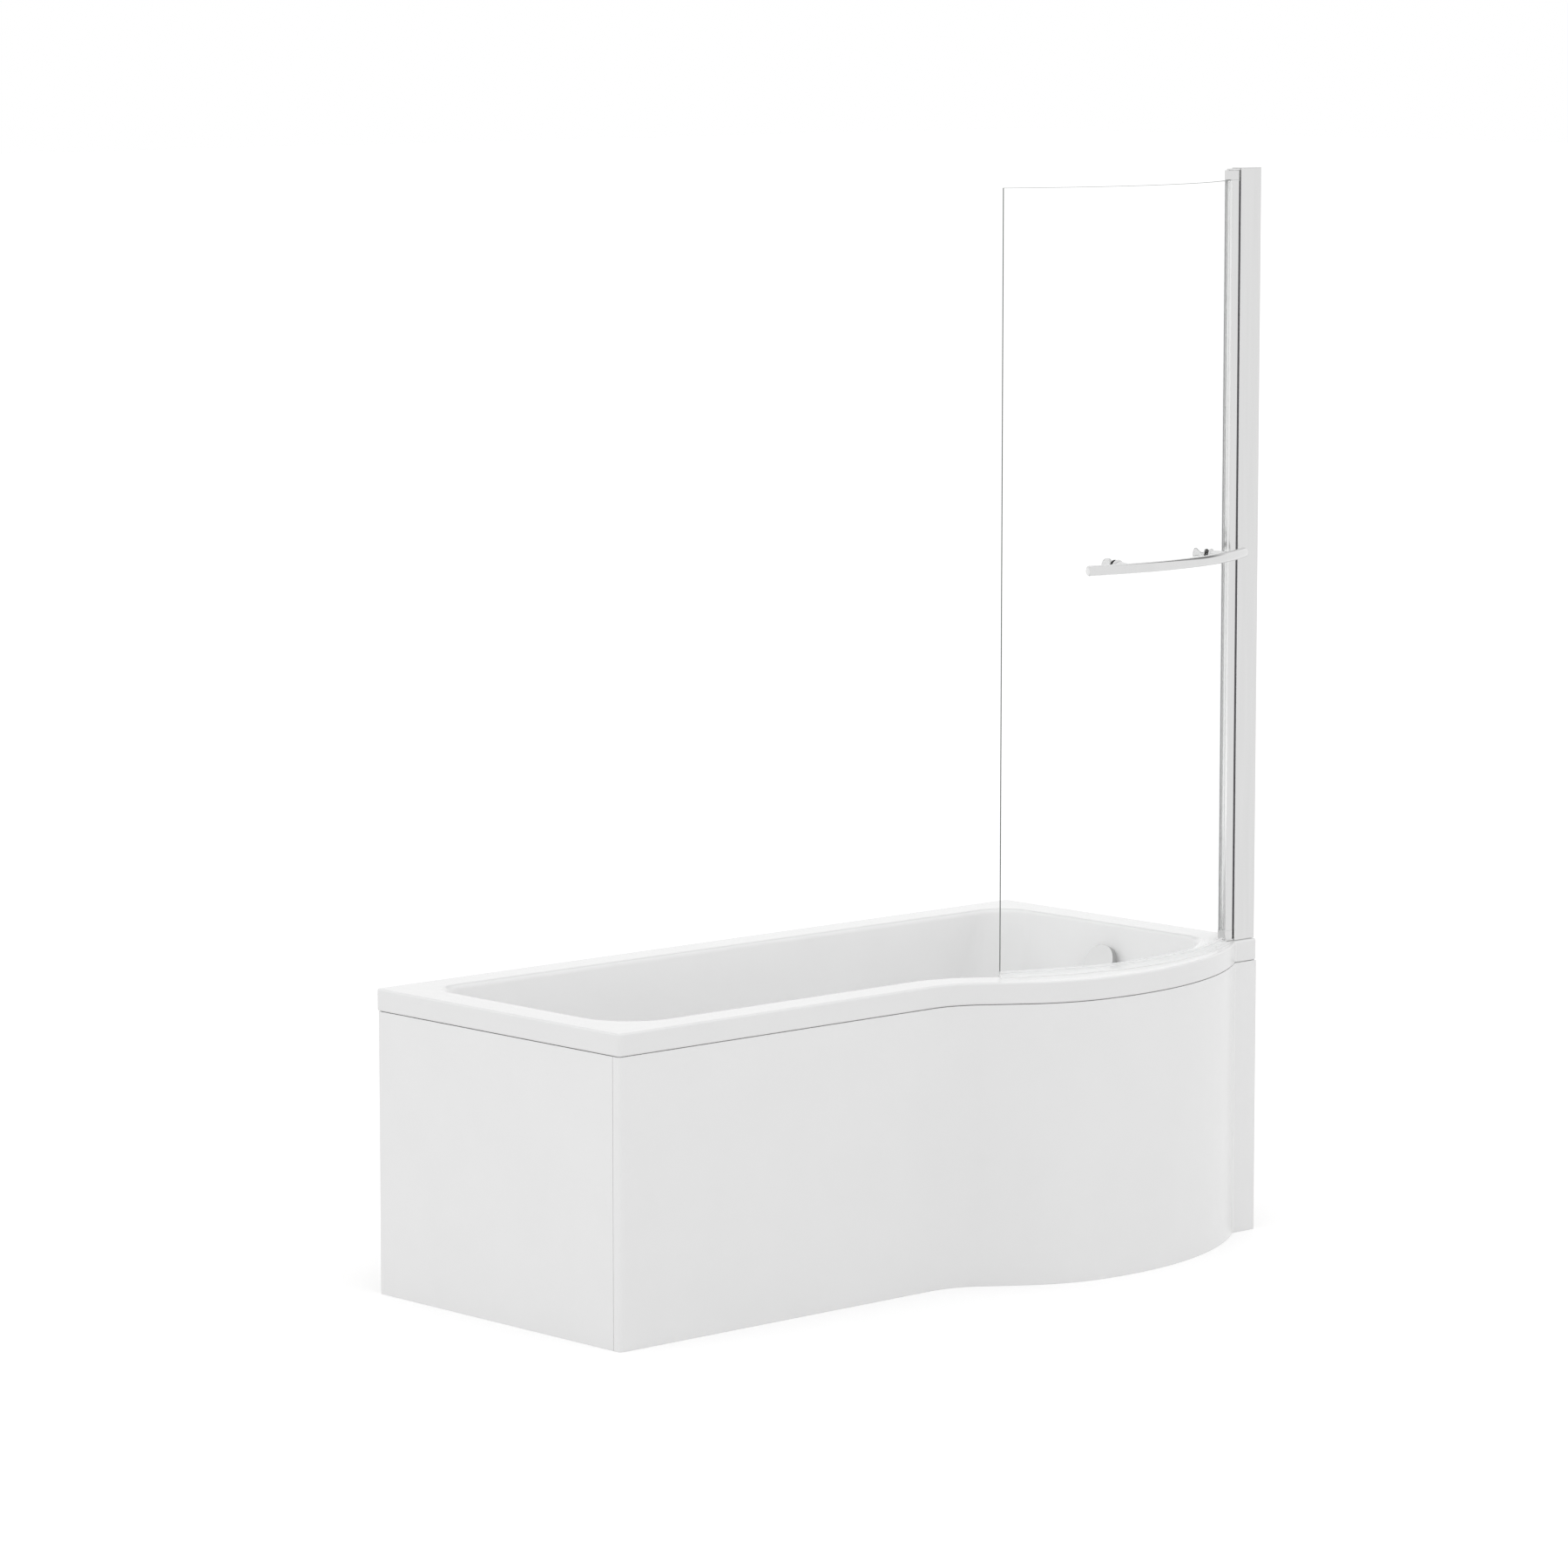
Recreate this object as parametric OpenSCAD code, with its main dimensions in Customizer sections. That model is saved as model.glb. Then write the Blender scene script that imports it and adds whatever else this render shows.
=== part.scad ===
// P shaped shower bath: a moulded tub with a front bulge at the tap end, front and end panels,
// an adjustable leg frame, a pop-up waste with an overflow knob, and a curved glass screen that
// swings on a wall profile and carries a towel rail.
// Millimetres. X runs along the bath from the foot end to the tap end, -Y is the open front and
// Z is up. The bath stands on the floor at z = 0. The straight part of the front is at y = 0
// before the whole model is moved so that the middle of its plan is at the origin.

/* [Bath outline] */
// Length of the bath, foot end to tap end
bath_length = 1675; // [1600:5:1800]
// Width of the straight part of the bath
bath_width = 700; // [680:5:800]
// How far the front bulges past the straight front
bulge = 149; // [120:1:170]
// Distance from the tap end to the widest point
apex_from_tap = 475; // [455:5:500]
// Radius of the long curve of the bulge
main_radius = 680; // [660:5:720]
// Radius where the bulge starts to turn back
shoulder_radius = 330; // [300:5:360]
// Angle at which the long curve meets the shoulder
shoulder_angle = 8; // [6:0.5:12]
// Steepest slope of the front's S curve
slope_angle = 35.5; // [32:0.5:40]
// Radius of the hollow start of the S curve
reverse_radius = 160; // [120:5:220]
// How far the short flat at the tap end stands out
tap_return = 10; // [6:1:16]
// Radius of the soft crease before that flat
crease_radius = 16; // [8:1:24]

/* [Rim and tub] */
// Height of the rim's top above the floor
rim_height = 588; // [560:2:620]
// Height of the rim's outer lip
lip_height = 42.5; // [36:0.5:50]
// Thickness of the lip
lip_wall = 6; // [5:0.5:8]
// Rounding of the lip's upper and lower edges
lip_round = 4; // [2:0.5:4.5]
// Radius of the lip's corners in plan
lip_corner = 9; // [8:0.5:14]
// Thickness of the moulded shell
shell_wall = 5; // [4:0.5:6]
// Rim width along the front
rim_front = 65; // [60:1:75]
// Rim width along the wall
rim_back = 62; // [58:1:75]
// Rim width at the foot end
rim_foot = 69; // [60:1:80]
// Rim width at the tap end
rim_tap = 68; // [62:1:80]
// Rounding from the rim down into the tub
rim_round = 12; // [8:1:16]
// Depth of the tub below the rim
tub_depth = 388; // [360:2:400]
// Lean of the front and back walls
side_angle = 8; // [6:0.5:11]
// Lean of the tap end wall
tap_angle = 23; // [18:0.5:25]
// Lean of the backrest at the foot end
foot_angle = 33; // [28:0.5:36]
// Radius between the side walls and the tub floor
side_fillet = 75; // [60:1:85]
// Radius between the tap end wall and the tub floor
tap_fillet = 90; // [70:1:100]
// Radius between the backrest and the tub floor
foot_fillet = 120; // [90:1:140]
// Corner radius of the tub at foot end and front
corner_foot_front = 115; // [90:1:130]
// Corner radius of the tub at foot end and wall
corner_foot_back = 62; // [50:1:100]
// Corner radius of the tub at tap end and wall
corner_tap_back = 76; // [60:1:100]
// Corner radius of the tub at tap end and front
corner_tap_front = 72; // [60:1:95]
// How much the corners widen down to the tub floor
corner_growth = 40; // [20:1:60]

/* [Panels] */
// Thickness of the front and end panels
panel_wall = 4; // [3:0.5:5]
// Set-back of the panels behind the lip
panel_inset = 1.5; // [1:0.5:3]
// Shadow gap between the lip and the panels
panel_gap = 2.5; // [2:0.5:4]
// Width of the panels' turned-in flanges
panel_flange = 22; // [16:1:22]
// How far the front panel wraps round the foot end
panel_wrap = 20; // [16:1:30]
// Gap between the front and end panels
panel_seam = 1; // [0.5:0.5:2]
// Distance of the end panel from the wall
panel_back_gap = 7; // [5:1:12]

/* [Timber and brackets] */
// Width of the battens under the rim
batten_width = 30; // [26:1:30]
// Clearance between the battens and the lip
batten_gap = 0.4; // [0.3:0.1:1]
// Thickness of the board under the tub
board_thickness = 15; // [12:1:18]
// Inset of the board from the flat of the tub floor
board_inset = 10; // [5:1:20]
// Diameter of the board's cut-out round the waste
board_waste_hole = 130; // [110:2:140]
// Sheet thickness of clips and wall brackets
clip_sheet = 1.5; // [1:0.1:2]
// Width of a panel clip
clip_width = 30; // [20:1:50]
// Distance between the two wall brackets
bracket_spacing = 900; // [600:50:1100]
// Width of a wall bracket
bracket_width = 40; // [30:1:60]
// Height of a wall bracket
bracket_height = 60; // [50:1:80]
// Diameter of the wall bracket's hole
bracket_hole = 6.5; // [5:0.1:8]

/* [Legs] */
// Width of the cross bars
bar_width = 50; // [40:1:60]
// Height of the cross bars
bar_height = 25; // [20:1:30]
// Sheet thickness of the cross bars
bar_wall = 2; // [1.5:0.1:3]
// Foot end bar's distance from the foot end
bar_foot_x = 480; // [440:5:600]
// Tap end bar's distance from the tap end
bar_tap_x = 495; // [470:5:560]
// Centre leg's distance from the foot end
centre_leg_x = 830; // [760:5:880]
// Cross bars' distance from the wall
bar_back_gap = 70; // [60:5:90]
// Foot end bar's distance from the front
bar_front_gap = 70; // [60:5:90]
// How far the tap end bar reaches under the bulge
bar_reach = 55; // [30:5:60]
// Distance of a leg from the end of its bar
leg_inset = 25; // [18:1:30]
// Diameter of the threaded legs
leg_diameter = 10; // [8:1:12]
// Width across the flats of the leg nuts
nut_flats = 17; // [15:1:19]
// Thickness of the leg nuts
nut_thickness = 8; // [6:0.5:9]
// Diameter of the feet
foot_diameter = 48; // [36:1:60]
// Height of the feet
foot_height = 14; // [12:1:20]

/* [Waste and overflow] */
// Waste centre's distance from the tap end
waste_x = 375; // [360:5:385]
// Waste and overflow centre's distance from the straight front
waste_y = 306; // [300:2:360]
// Diameter of the waste flange
flange_diameter = 70; // [66:1:76]
// Bore of the waste
waste_bore = 42; // [38:1:44]
// Diameter of the pop-up plug
plug_diameter = 60; // [56:1:64]
// Diameter of the plug's stem
stem_diameter = 8; // [6:0.5:10]
// Diameter of the threaded outlet
outlet_diameter = 47.8; // [46:0.1:50]
// Length of the threaded outlet
outlet_length = 40; // [30:1:45]
// Diameter of the overflow knob
knob_diameter = 76; // [74:1:86]
// Thickness of the overflow knob
knob_thickness = 15; // [12:0.5:18]
// Gap between the overflow knob and its plate
knob_gap = 2.5; // [1:0.1:2.5]
// Depth of the overflow's centre below the rim
overflow_depth = 80; // [78:1:100]
// Outer diameter of the overflow pipe
pipe_diameter = 40; // [36:1:42]
// Wall of the overflow pipe
pipe_wall = 3; // [2:0.5:3.5]

/* [Wall profile] */
// Height of the screen's top above the floor
screen_height = 2112; // [2000:2:2140]
// Width of the wall profile along the bath
wall_profile_width = 56.5; // [52:0.5:60]
// Depth of the wall profile
wall_profile_depth = 26; // [26:0.5:30]
// Wall of the wall profile
wall_profile_wall = 1.8; // [1.5:0.1:2.2]
// Thickness of the cap on the wall profile
profile_cap_plate = 1.5; // [1:0.1:3]
// Width of the inner post
post_width = 32; // [28:1:36]
// Wall of the inner post
post_wall = 1.6; // [1.4:0.1:2]
// Clearance between the post and the wall profile
post_gap = 0.3; // [0.2:0.1:0.5]
// Diameter of the wall screw holes
wall_hole = 6.5; // [5:0.1:8]
// Distance between the wall screw holes
wall_hole_spacing = 1200; // [1000:20:1300]

/* [Hinge profile] */
// Gap between the hinge profile and the wall profile
hinge_gap = 5.5; // [5:0.5:8]
// Width of the hinge profile
hinge_width = 19; // [18:0.5:20]
// Depth of the hinge profile
hinge_depth = 23; // [22:0.5:24]
// Corner radius of the hinge profile
hinge_corner = 4.5; // [4:0.5:6]
// Height of the lower hinge cap
cap_low_height = 18; // [16:1:22]
// Height of the upper hinge cap
cap_top_height = 18.5; // [16:0.5:24]
// How far the hinge caps stand out past the profile
cap_lip = 1; // [0.5:0.5:1.5]
// Diameter of the hinge pins
pin_diameter = 6; // [5:0.5:7]
// Wall of the pin bushes
bush_wall = 2; // [1.5:0.1:2.5]
// Thickness of the hinge brackets' tongues
tongue = 3; // [2.5:0.1:3.5]
// Running clearance of turning and sliding fits, on the radius
running = 0.05; // [0.03:0.01:0.08]

/* [Glass screen] */
// Radius of the curved glass at mid thickness
glass_radius = 600; // [580:5:620]
// Thickness of the glass
glass_thickness = 6; // [5:1:8]
// Distance from the tap end to the middle of the glass's curve
glass_centre_x = 405; // [400:1:410]
// Distance from the straight front to the middle of the glass's curve
glass_centre_y = 517; // [512:1:518]
// Angle of the free edge
glass_free_angle = 30.5; // [25:0.5:34]
// Depth of the glass in the hinge profile
glass_bite = 6.5; // [5:0.5:7]
// Height of the glass's lower edge above the rim
glass_lift = 4; // [4:0.5:14]
// Thickness of the glazing strips
gasket = 1.2; // [1:0.1:1.5]

/* [Bottom seal] */
// Wall of the bottom seal
seal_wall = 1.4; // [1.2:0.1:1.8]
// Height of the seal's lips on the glass
seal_grip = 6; // [6:0.5:12]
// Reach of the outer fin from the glass
fin_reach = 23; // [16:1:26]
// Clearance between the seal and the rim
seal_gap = 0.3; // [0.2:0.1:0.6]

/* [Towel rail] */
// Height of the rail above the floor
rail_height = 1365; // [1200:5:1500]
// Diameter of the rail
rail_diameter = 20; // [18:0.5:24]
// Distance from the glass's middle to the rail's middle
rail_offset = 42; // [38:1:48]
// Angle of the rail's middle round the glass's curve
rail_middle_angle = 7.3; // [5:0.1:8]
// Half the rail's angle
rail_half_angle = 22.6; // [20:0.1:23]
// Half the angle between the two posts
post_half_angle = 14.4; // [12:0.1:16]
// Diameter of the posts at the glass
rail_post_base = 28; // [24:1:30]
// How much narrower than the rail the posts are where they meet it
rail_post_step = 1; // [0.5:0.5:8]
// Diameter of the inner knobs
rail_knob_diameter = 29; // [24:1:34]
// Length of the inner knobs
rail_knob_length = 24; // [22:1:36]

/* [Hidden] */
$fn = 96;

// Move that brings the middle of the whole plan to the origin
shift = [-bath_length / 2, -(bath_width - bulge) / 2, 0];

// Levels
lip_z = rim_height - lip_height;
floor_z = rim_height - tub_depth;
under_z = floor_z - shell_wall;
board_z = under_z - board_thickness;
web_z = board_z - bar_wall;
panel_top = lip_z - panel_gap;

// Clearance of parts of one body that are pushed or screwed together
fit = 0.1;

// ---- Plan outline ------------------------------------------------------------------------

apex_x = bath_length - apex_from_tap;
main_c = [apex_x, main_radius - bulge];
shoulder_c = main_c
    - (main_radius - shoulder_radius) * [sin(shoulder_angle), cos(shoulder_angle)];
shoulder_end = shoulder_c - shoulder_radius * [sin(slope_angle), cos(slope_angle)];
reverse_drop = reverse_radius * (1 - cos(slope_angle));
straight_run = (-reverse_drop - shoulder_end.y) / tan(slope_angle);
reverse_x = shoulder_end.x - straight_run - reverse_radius * sin(slope_angle);
reverse_c = [reverse_x, -reverse_radius];
crease_c = [
    main_c.x + sqrt(pow(main_radius + crease_radius, 2)
        - pow(main_c.y + tap_return + crease_radius, 2)),
    -tap_return - crease_radius
];
crease_angle = atan2(crease_c.x - main_c.x, main_c.y - crease_c.y);

// Points of an arc. Angle 0 points to -Y and 90 to +X; the first point is left out on request.
function arc(c, r, a0, a1, n, first = 0) =
    [for (i = [first : n]) let (a = a0 + (a1 - a0) * i / n) c + r * [sin(a), -cos(a)]];

// The S curve of the front at a distance d inside the lip, up to the start of the long curve
function s_curve(d) = concat(
    arc(reverse_c, reverse_radius + d, 180, 180 - slope_angle, 7),
    arc(shoulder_c, shoulder_radius - d, -slope_angle, -shoulder_angle, 6)
);

// Front of the lip and the panel at a distance d inside the lip: S curve, long curve and crease
function front_line(d) = concat(
    s_curve(d),
    arc(main_c, main_radius - d, -shoulder_angle, crease_angle, 16, 1),
    arc(crease_c, crease_radius + d, 180 + crease_angle, 180, 4, 1)
);

// Closed outline of the lip at a distance d inside it
function lip_ring(d) = let (
    r = max(lip_corner - d, 0.8),
    x1 = bath_length - d,
    y1 = bath_width - d,
    yt = -tap_return + d
) concat(
    arc([d + r, d + r], r, -90, 0, 8),
    front_line(d),
    arc([x1 - r, yt + r], r, 0, 90, 5),
    arc([x1 - r, y1 - r], r, 90, 180, 8),
    arc([d + r, y1 - r], r, 180, 270, 8)
);

// Cross-section of a tub wall that leans by an angle: [inset from the rim's edge, height] down
// to the tub floor. The underside is the same section moved out by off.
function wall_section(lean, fillet, off) = let (
    top = 90 - lean,
    r = rim_round - off,
    x1 = r * sin(top),
    z1 = rim_height - rim_round + r * cos(top),
    z2 = floor_z + fillet - (fillet + off) * sin(lean),
    x2 = x1 + (z1 - z2) * tan(lean),
    xc = x2 + (fillet + off) * cos(lean),
    zc = floor_z + fillet
) concat(
    [for (i = [0 : 4]) let (a = top * i / 4)
        [r * sin(a), rim_height - rim_round + r * cos(a)]],
    [for (i = [0 : 6]) let (a = lean + (90 - lean) * i / 6)
        [xc - (fillet + off) * cos(a), zc - (fillet + off) * sin(a)]]
);

// Corner heights blend from one wall's section to the next
function blend(za, zb, n, first = 0) =
    [for (i = [first : n]) za + (zb - za) * pow(sin(90 * i / n), 2)];
function level(z, n) = [for (i = [1 : n]) z];

// One closed ring of the tub, from a section point of each wall: side, tap end and foot end
function tub_ring(side, tap, foot, grow) = let (
    df = rim_front + side.x,
    x0 = rim_foot + foot.x,
    x1 = bath_length - rim_tap - tap.x,
    y1 = bath_width - rim_back - side.x,
    rff = corner_foot_front + grow,
    rfb = corner_foot_back + grow,
    rtb = corner_tap_back + grow,
    rtf = corner_tap_front + grow,
    xc = x1 - rtf,
    yc = main_c.y - sqrt(pow(main_radius - df - rtf, 2) - pow(xc - main_c.x, 2)),
    turn = atan2(xc - main_c.x, main_c.y - yc),
    plan = concat(
        arc([x0 + rff, df + rff], rff, -90, 0, 8),
        s_curve(df),
        arc(main_c, main_radius - df, -shoulder_angle, turn, 16, 1),
        arc([xc, yc], rtf, turn, 90, 10, 1),
        arc([x1 - rtb, y1 - rtb], rtb, 90, 180, 8),
        arc([x0 + rfb, y1 - rfb], rfb, 180, 270, 8)
    ),
    heights = concat(
        blend(foot.y, side.y, 8),
        level(side.y, 31),
        blend(side.y, tap.y, 10, 1),
        blend(tap.y, side.y, 8),
        blend(side.y, foot.y, 8)
    )
) [for (i = [0 : len(plan) - 1]) [plan[i].x, plan[i].y, heights[i]]];

// All rings of one face of the tub, from the rim's edge to the floor
function tub_rings(off) = let (
    side = wall_section(side_angle, side_fillet, off),
    tap = wall_section(tap_angle, tap_fillet, off),
    foot = wall_section(foot_angle, foot_fillet, off)
) [for (k = [0 : len(side) - 1])
    tub_ring(side[k], tap[k], foot[k],
        off + corner_growth * (rim_height - side[k].y) / tub_depth)];

function flat_ring(points, z) = [for (p = points) [p.x, p.y, z]];
function reversed(v) = [for (i = [len(v) - 1 : -1 : 0]) v[i]];

// Outside of the lip from the rim's top to its lower edge
function lip_rings() = concat(
    [for (a = [0 : 30 : 90])
        flat_ring(lip_ring(lip_round * (1 - sin(a))),
            rim_height - lip_round * (1 - cos(a)))],
    [for (a = [0 : 45 : 90])
        flat_ring(lip_ring(lip_round * (1 - cos(a))),
            lip_z + lip_round * (1 - sin(a)))]
);

// A closed solid through a list of rings, from its first to its last ring
module loft(rings) {
    n = len(rings[0]);
    m = len(rings);
    sides = [for (k = [0 : m - 2], i = [0 : n - 1], t = [0, 1]) let (
        j = (i + 1) % n, a = k * n + i, b = k * n + j, c = a + n, d = b + n)
        t == 0 ? [a, b, d] : [a, d, c]];
    polyhedron(
        points = [for (r = rings, p = r) p],
        faces = concat(sides, [[for (i = [n - 1 : -1 : 0]) i]],
            [[for (i = [0 : n - 1]) (m - 1) * n + i]])
    );
}

// ---- Overflow and waste places -----------------------------------------------------------

overflow_z = rim_height - overflow_depth;
overflow_x = bath_length - rim_tap - rim_round * cos(tap_angle)
    - (overflow_depth - rim_round + rim_round * sin(tap_angle)) * tan(tap_angle);
waste_c = [bath_length - waste_x, waste_y];
neck_r = 24;
neck_gap = 0.5;
knob_r = knob_diameter / 2;
plate_r = 33;
plate_t = 3;
washer_t = 2;
// The overflow's seals are let in this little, so that they only just touch the shell
seat = 0.02;
spindle_r = 5;
housing_r = 30;
housing_depth = 30;

// Moves what it draws to the overflow, with +Z out of the tub's wall towards the bather
module at_overflow() {
    translate([overflow_x, waste_y, overflow_z]) rotate([0, tap_angle - 90, 0]) children();
}

// ---- Bath shell --------------------------------------------------------------------------

module bath_shell() {
    top_rings = tub_rings(0);
    under_rings = tub_rings(shell_wall);
    lip = lip_rings();
    lip_inside = [
        flat_ring(lip_ring(lip_wall), lip_z),
        flat_ring(lip_ring(lip_wall), rim_height - shell_wall)
    ];
    color("white") difference() {
        loft(concat(reversed(top_rings), lip, lip_inside, under_rings));
        translate([waste_c.x, waste_c.y, under_z - 1])
            cylinder(r = waste_bore / 2 + 3, h = shell_wall + 2);
        at_overflow() translate([0, 0, -shell_wall - 3])
            cylinder(r = neck_r + neck_gap, h = shell_wall + 6);
    }
}

// ---- Timber ------------------------------------------------------------------------------

board_x0 = rim_foot + wall_section(foot_angle, foot_fillet, 0)[11].x + board_inset;
board_x1 = bath_length - rim_tap - wall_section(tap_angle, tap_fillet, 0)[11].x - board_inset;
board_y0 = rim_front + wall_section(side_angle, side_fillet, 0)[11].x + board_inset;
board_y1 = bath_width - rim_back - wall_section(side_angle, side_fillet, 0)[11].x
    - board_inset;
screw_r = 2;
screw_length = 12;
bar_tap = bath_length - bar_tap_x;
bar_screws = [for (x = [bar_foot_x, bar_tap], dx = [-0.3, 0.3], f = [0.15, 0.85])
    [x + dx * bar_width, board_y0 + f * (board_y1 - board_y0)]];
centre_c = [centre_leg_x, (board_y0 + board_y1) / 2];
plate_side = 80;
centre_screws = [for (a = [45 : 90 : 315])
    centre_c + 0.45 * plate_side * [cos(a), sin(a)]];

module base_board() {
    color("burlywood") difference() {
        translate([board_x0, board_y0, board_z])
            cube([board_x1 - board_x0, board_y1 - board_y0, board_thickness]);
        translate([waste_c.x, waste_c.y, board_z - 1])
            cylinder(d = board_waste_hole, h = board_thickness + 2);
        for (p = concat(bar_screws, centre_screws))
            translate([p.x, p.y, board_z - 1]) cylinder(r = screw_r + fit, h = screw_length + 1.5);
    }
}

batten_out = lip_wall + batten_gap;
batten_in = batten_out + batten_width;
batten_height = lip_height - shell_wall;
batten_end = 100;

// Panel clip and bracket places: [x, y, direction the clip's panel faces]
clip_front = [[250, 0], [650, 0], [apex_x, -bulge]];
clip_foot = [180, 520];
bracket_x = [for (s = [-1, 1]) bath_length / 2 + s * bracket_spacing / 2];
bracket_screw_y = bath_width - batten_out - batten_width / 2;

module pilot(x, y) {
    translate([x, y, lip_z - 1]) cylinder(r = screw_r + fit, h = screw_length + 1.5);
}

// Curved batten that follows the front from the foot end to the tap end
module front_batten() {
    outer = front_line(batten_out);
    inner = front_line(batten_in);
    color("tan") difference() {
        translate([0, 0, lip_z]) linear_extrude(batten_height) polygon(concat(
            [[batten_end, batten_out]], outer, reversed(inner), [[batten_end, batten_in]]));
        for (c = clip_front) pilot(c.x, c.y + clip_screw_y);
    }
}

module back_batten() {
    color("tan") difference() {
        translate([batten_end, bath_width - batten_in, lip_z])
            cube([bath_length - 2 * batten_end, batten_width, batten_height]);
        for (x = bracket_x) pilot(x, bracket_screw_y);
    }
}

module end_battens() {
    color("tan") difference() {
        union() {
            translate([batten_out, batten_end, lip_z])
                cube([batten_width, bath_width - 2 * batten_end, batten_height]);
            translate([bath_length - batten_in, batten_end, lip_z])
                cube([batten_width, bath_width - 2 * batten_end, batten_height]);
        }
        for (y = clip_foot) pilot(clip_screw_y, y);
    }
}

// ---- Legs --------------------------------------------------------------------------------

bar_back = bath_width - bar_back_gap;
legs = [
    [bar_foot_x, bar_front_gap + leg_inset], [bar_foot_x, bar_back - leg_inset],
    [bar_tap, -bar_reach + leg_inset], [bar_tap, bar_back - leg_inset]
];
leg_top = board_z + nut_thickness + 8;
foot_seat = 6;

// Folded channel, open below, from y0 to y1
module leg_bar(x, y0, y1) {
    color("lightgray") difference() {
        translate([x - bar_width / 2, y0, board_z - bar_height])
            cube([bar_width, y1 - y0, bar_height]);
        translate([x - bar_width / 2 + bar_wall, y0 - 1, board_z - bar_height - 1])
            cube([bar_width - 2 * bar_wall, y1 - y0 + 2, bar_height + 1 - bar_wall]);
        for (y = [y0 + leg_inset, y1 - leg_inset])
            translate([x, y, web_z - 1]) cylinder(d = leg_diameter + 2 * fit, h = bar_wall + 2);
        for (p = bar_screws)
            translate([p.x, p.y, web_z - 1]) cylinder(r = screw_r + fit, h = bar_wall + 2);
    }
}

module leg_bar_foot() {
    leg_bar(bar_foot_x, bar_front_gap, bar_back);
}

module leg_bar_tap() {
    leg_bar(bar_tap, -bar_reach, bar_back);
}

// Flat plate with a nut on its underside, under the middle of the board
module centre_leg_plate() {
    color("lightgray") difference() {
        union() {
            translate([centre_c.x - plate_side / 2, centre_c.y - plate_side / 2, web_z])
                cube([plate_side, plate_side, bar_wall]);
            translate([centre_c.x, centre_c.y, web_z - nut_thickness])
                cylinder(d = nut_flats / cos(30), h = nut_thickness, $fn = 6);
        }
        translate([centre_c.x, centre_c.y, web_z - nut_thickness - 1])
            cylinder(d = leg_diameter + 2 * fit, h = nut_thickness + 1);
        for (p = centre_screws)
            translate([p.x, p.y, web_z - 1]) cylinder(r = screw_r + fit, h = bar_wall + 2);
    }
}

module board_screw(p) {
    translate([p.x, p.y, web_z]) cylinder(r = screw_r, h = bar_wall + screw_length - 1);
    translate([p.x, p.y, web_z - 2]) cylinder(r = 2 * screw_r, h = 2);
}

module frame_screws() {
    color("silver") for (p = concat(bar_screws, centre_screws)) board_screw(p);
}

module leg_rods() {
    color("silver") {
        for (p = legs) translate([p.x, p.y, foot_seat])
            cylinder(d = leg_diameter, h = leg_top - foot_seat);
        translate([centre_c.x, centre_c.y, foot_seat])
            cylinder(d = leg_diameter, h = web_z - foot_seat);
    }
}

module leg_nuts() {
    color("silver") for (p = legs, z = [board_z, web_z - nut_thickness])
        translate([p.x, p.y, z]) difference() {
            cylinder(d = nut_flats / cos(30), h = nut_thickness, $fn = 6);
            translate([0, 0, -1]) cylinder(d = leg_diameter + 2 * fit, h = nut_thickness + 2);
        }
}

module leg_feet() {
    color("dimgray") for (p = concat(legs, [centre_c])) translate([p.x, p.y, 0]) difference() {
        union() {
            cylinder(d = foot_diameter, h = foot_height / 2);
            translate([0, 0, foot_height / 2]) cylinder(d1 = foot_diameter,
                d2 = leg_diameter + 12, h = foot_height / 2);
        }
        translate([0, 0, foot_seat]) cylinder(d = leg_diameter + 2 * fit, h = foot_height);
    }
}

// ---- Panels ------------------------------------------------------------------------------

panel_back = panel_inset + panel_wall;
flange_in = panel_inset + panel_flange;
// The screw heads stand clear of the clips' upright leg
clip_screw_y = flange_in + 1 + clip_sheet + 2 * screw_r + 0.4;
panel_end = bath_length - panel_inset;
// How far a flange runs into the panel's face, so that the two are one solid
flange_join = 0.5;

// Outline of the front panel's path at a distance d inside the lip, wrap to tap end
function panel_line(d) = let (r = max(lip_corner - d, 0.8)) concat(
    [[d, panel_wrap]],
    arc([d + r, d + r], r, -90, 0, 8),
    front_line(d),
    [[panel_end, -tap_return + d]]
);

// Strip of the front panel between two distances inside the lip
module panel_strip(d0, d1, z, h) {
    translate([0, 0, z]) linear_extrude(h)
        polygon(concat(panel_line(d0), reversed(panel_line(d1))));
}

module front_panel() {
    color("white") {
        panel_strip(panel_inset, panel_back, 0, panel_top);
        linear_extrude(panel_wall) front_flange();
        translate([0, 0, panel_top - panel_wall]) linear_extrude(panel_wall) front_flange();
    }
}

// Turned-in flange of the front panel, clear of the end panel's flange
module front_flange() {
    start = panel_back - flange_join;
    polygon(concat(
        [[flange_in, start]], front_line(start),
        [[panel_end, -tap_return + start], [panel_end, -tap_return + flange_in]],
        reversed(front_line(flange_in)), [[flange_in, flange_in]]));
}

module end_panel() {
    y0 = panel_wrap + panel_seam;
    y1 = bath_width - panel_back_gap;
    color("white") translate([panel_inset, y0, 0]) union() {
        cube([panel_wall, y1 - y0, panel_top]);
        for (z = [0, panel_top - panel_wall])
            translate([0, flange_in - y0 + panel_seam, z])
                cube([panel_flange, y1 - flange_in - panel_seam, panel_wall]);
    }
}

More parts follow.
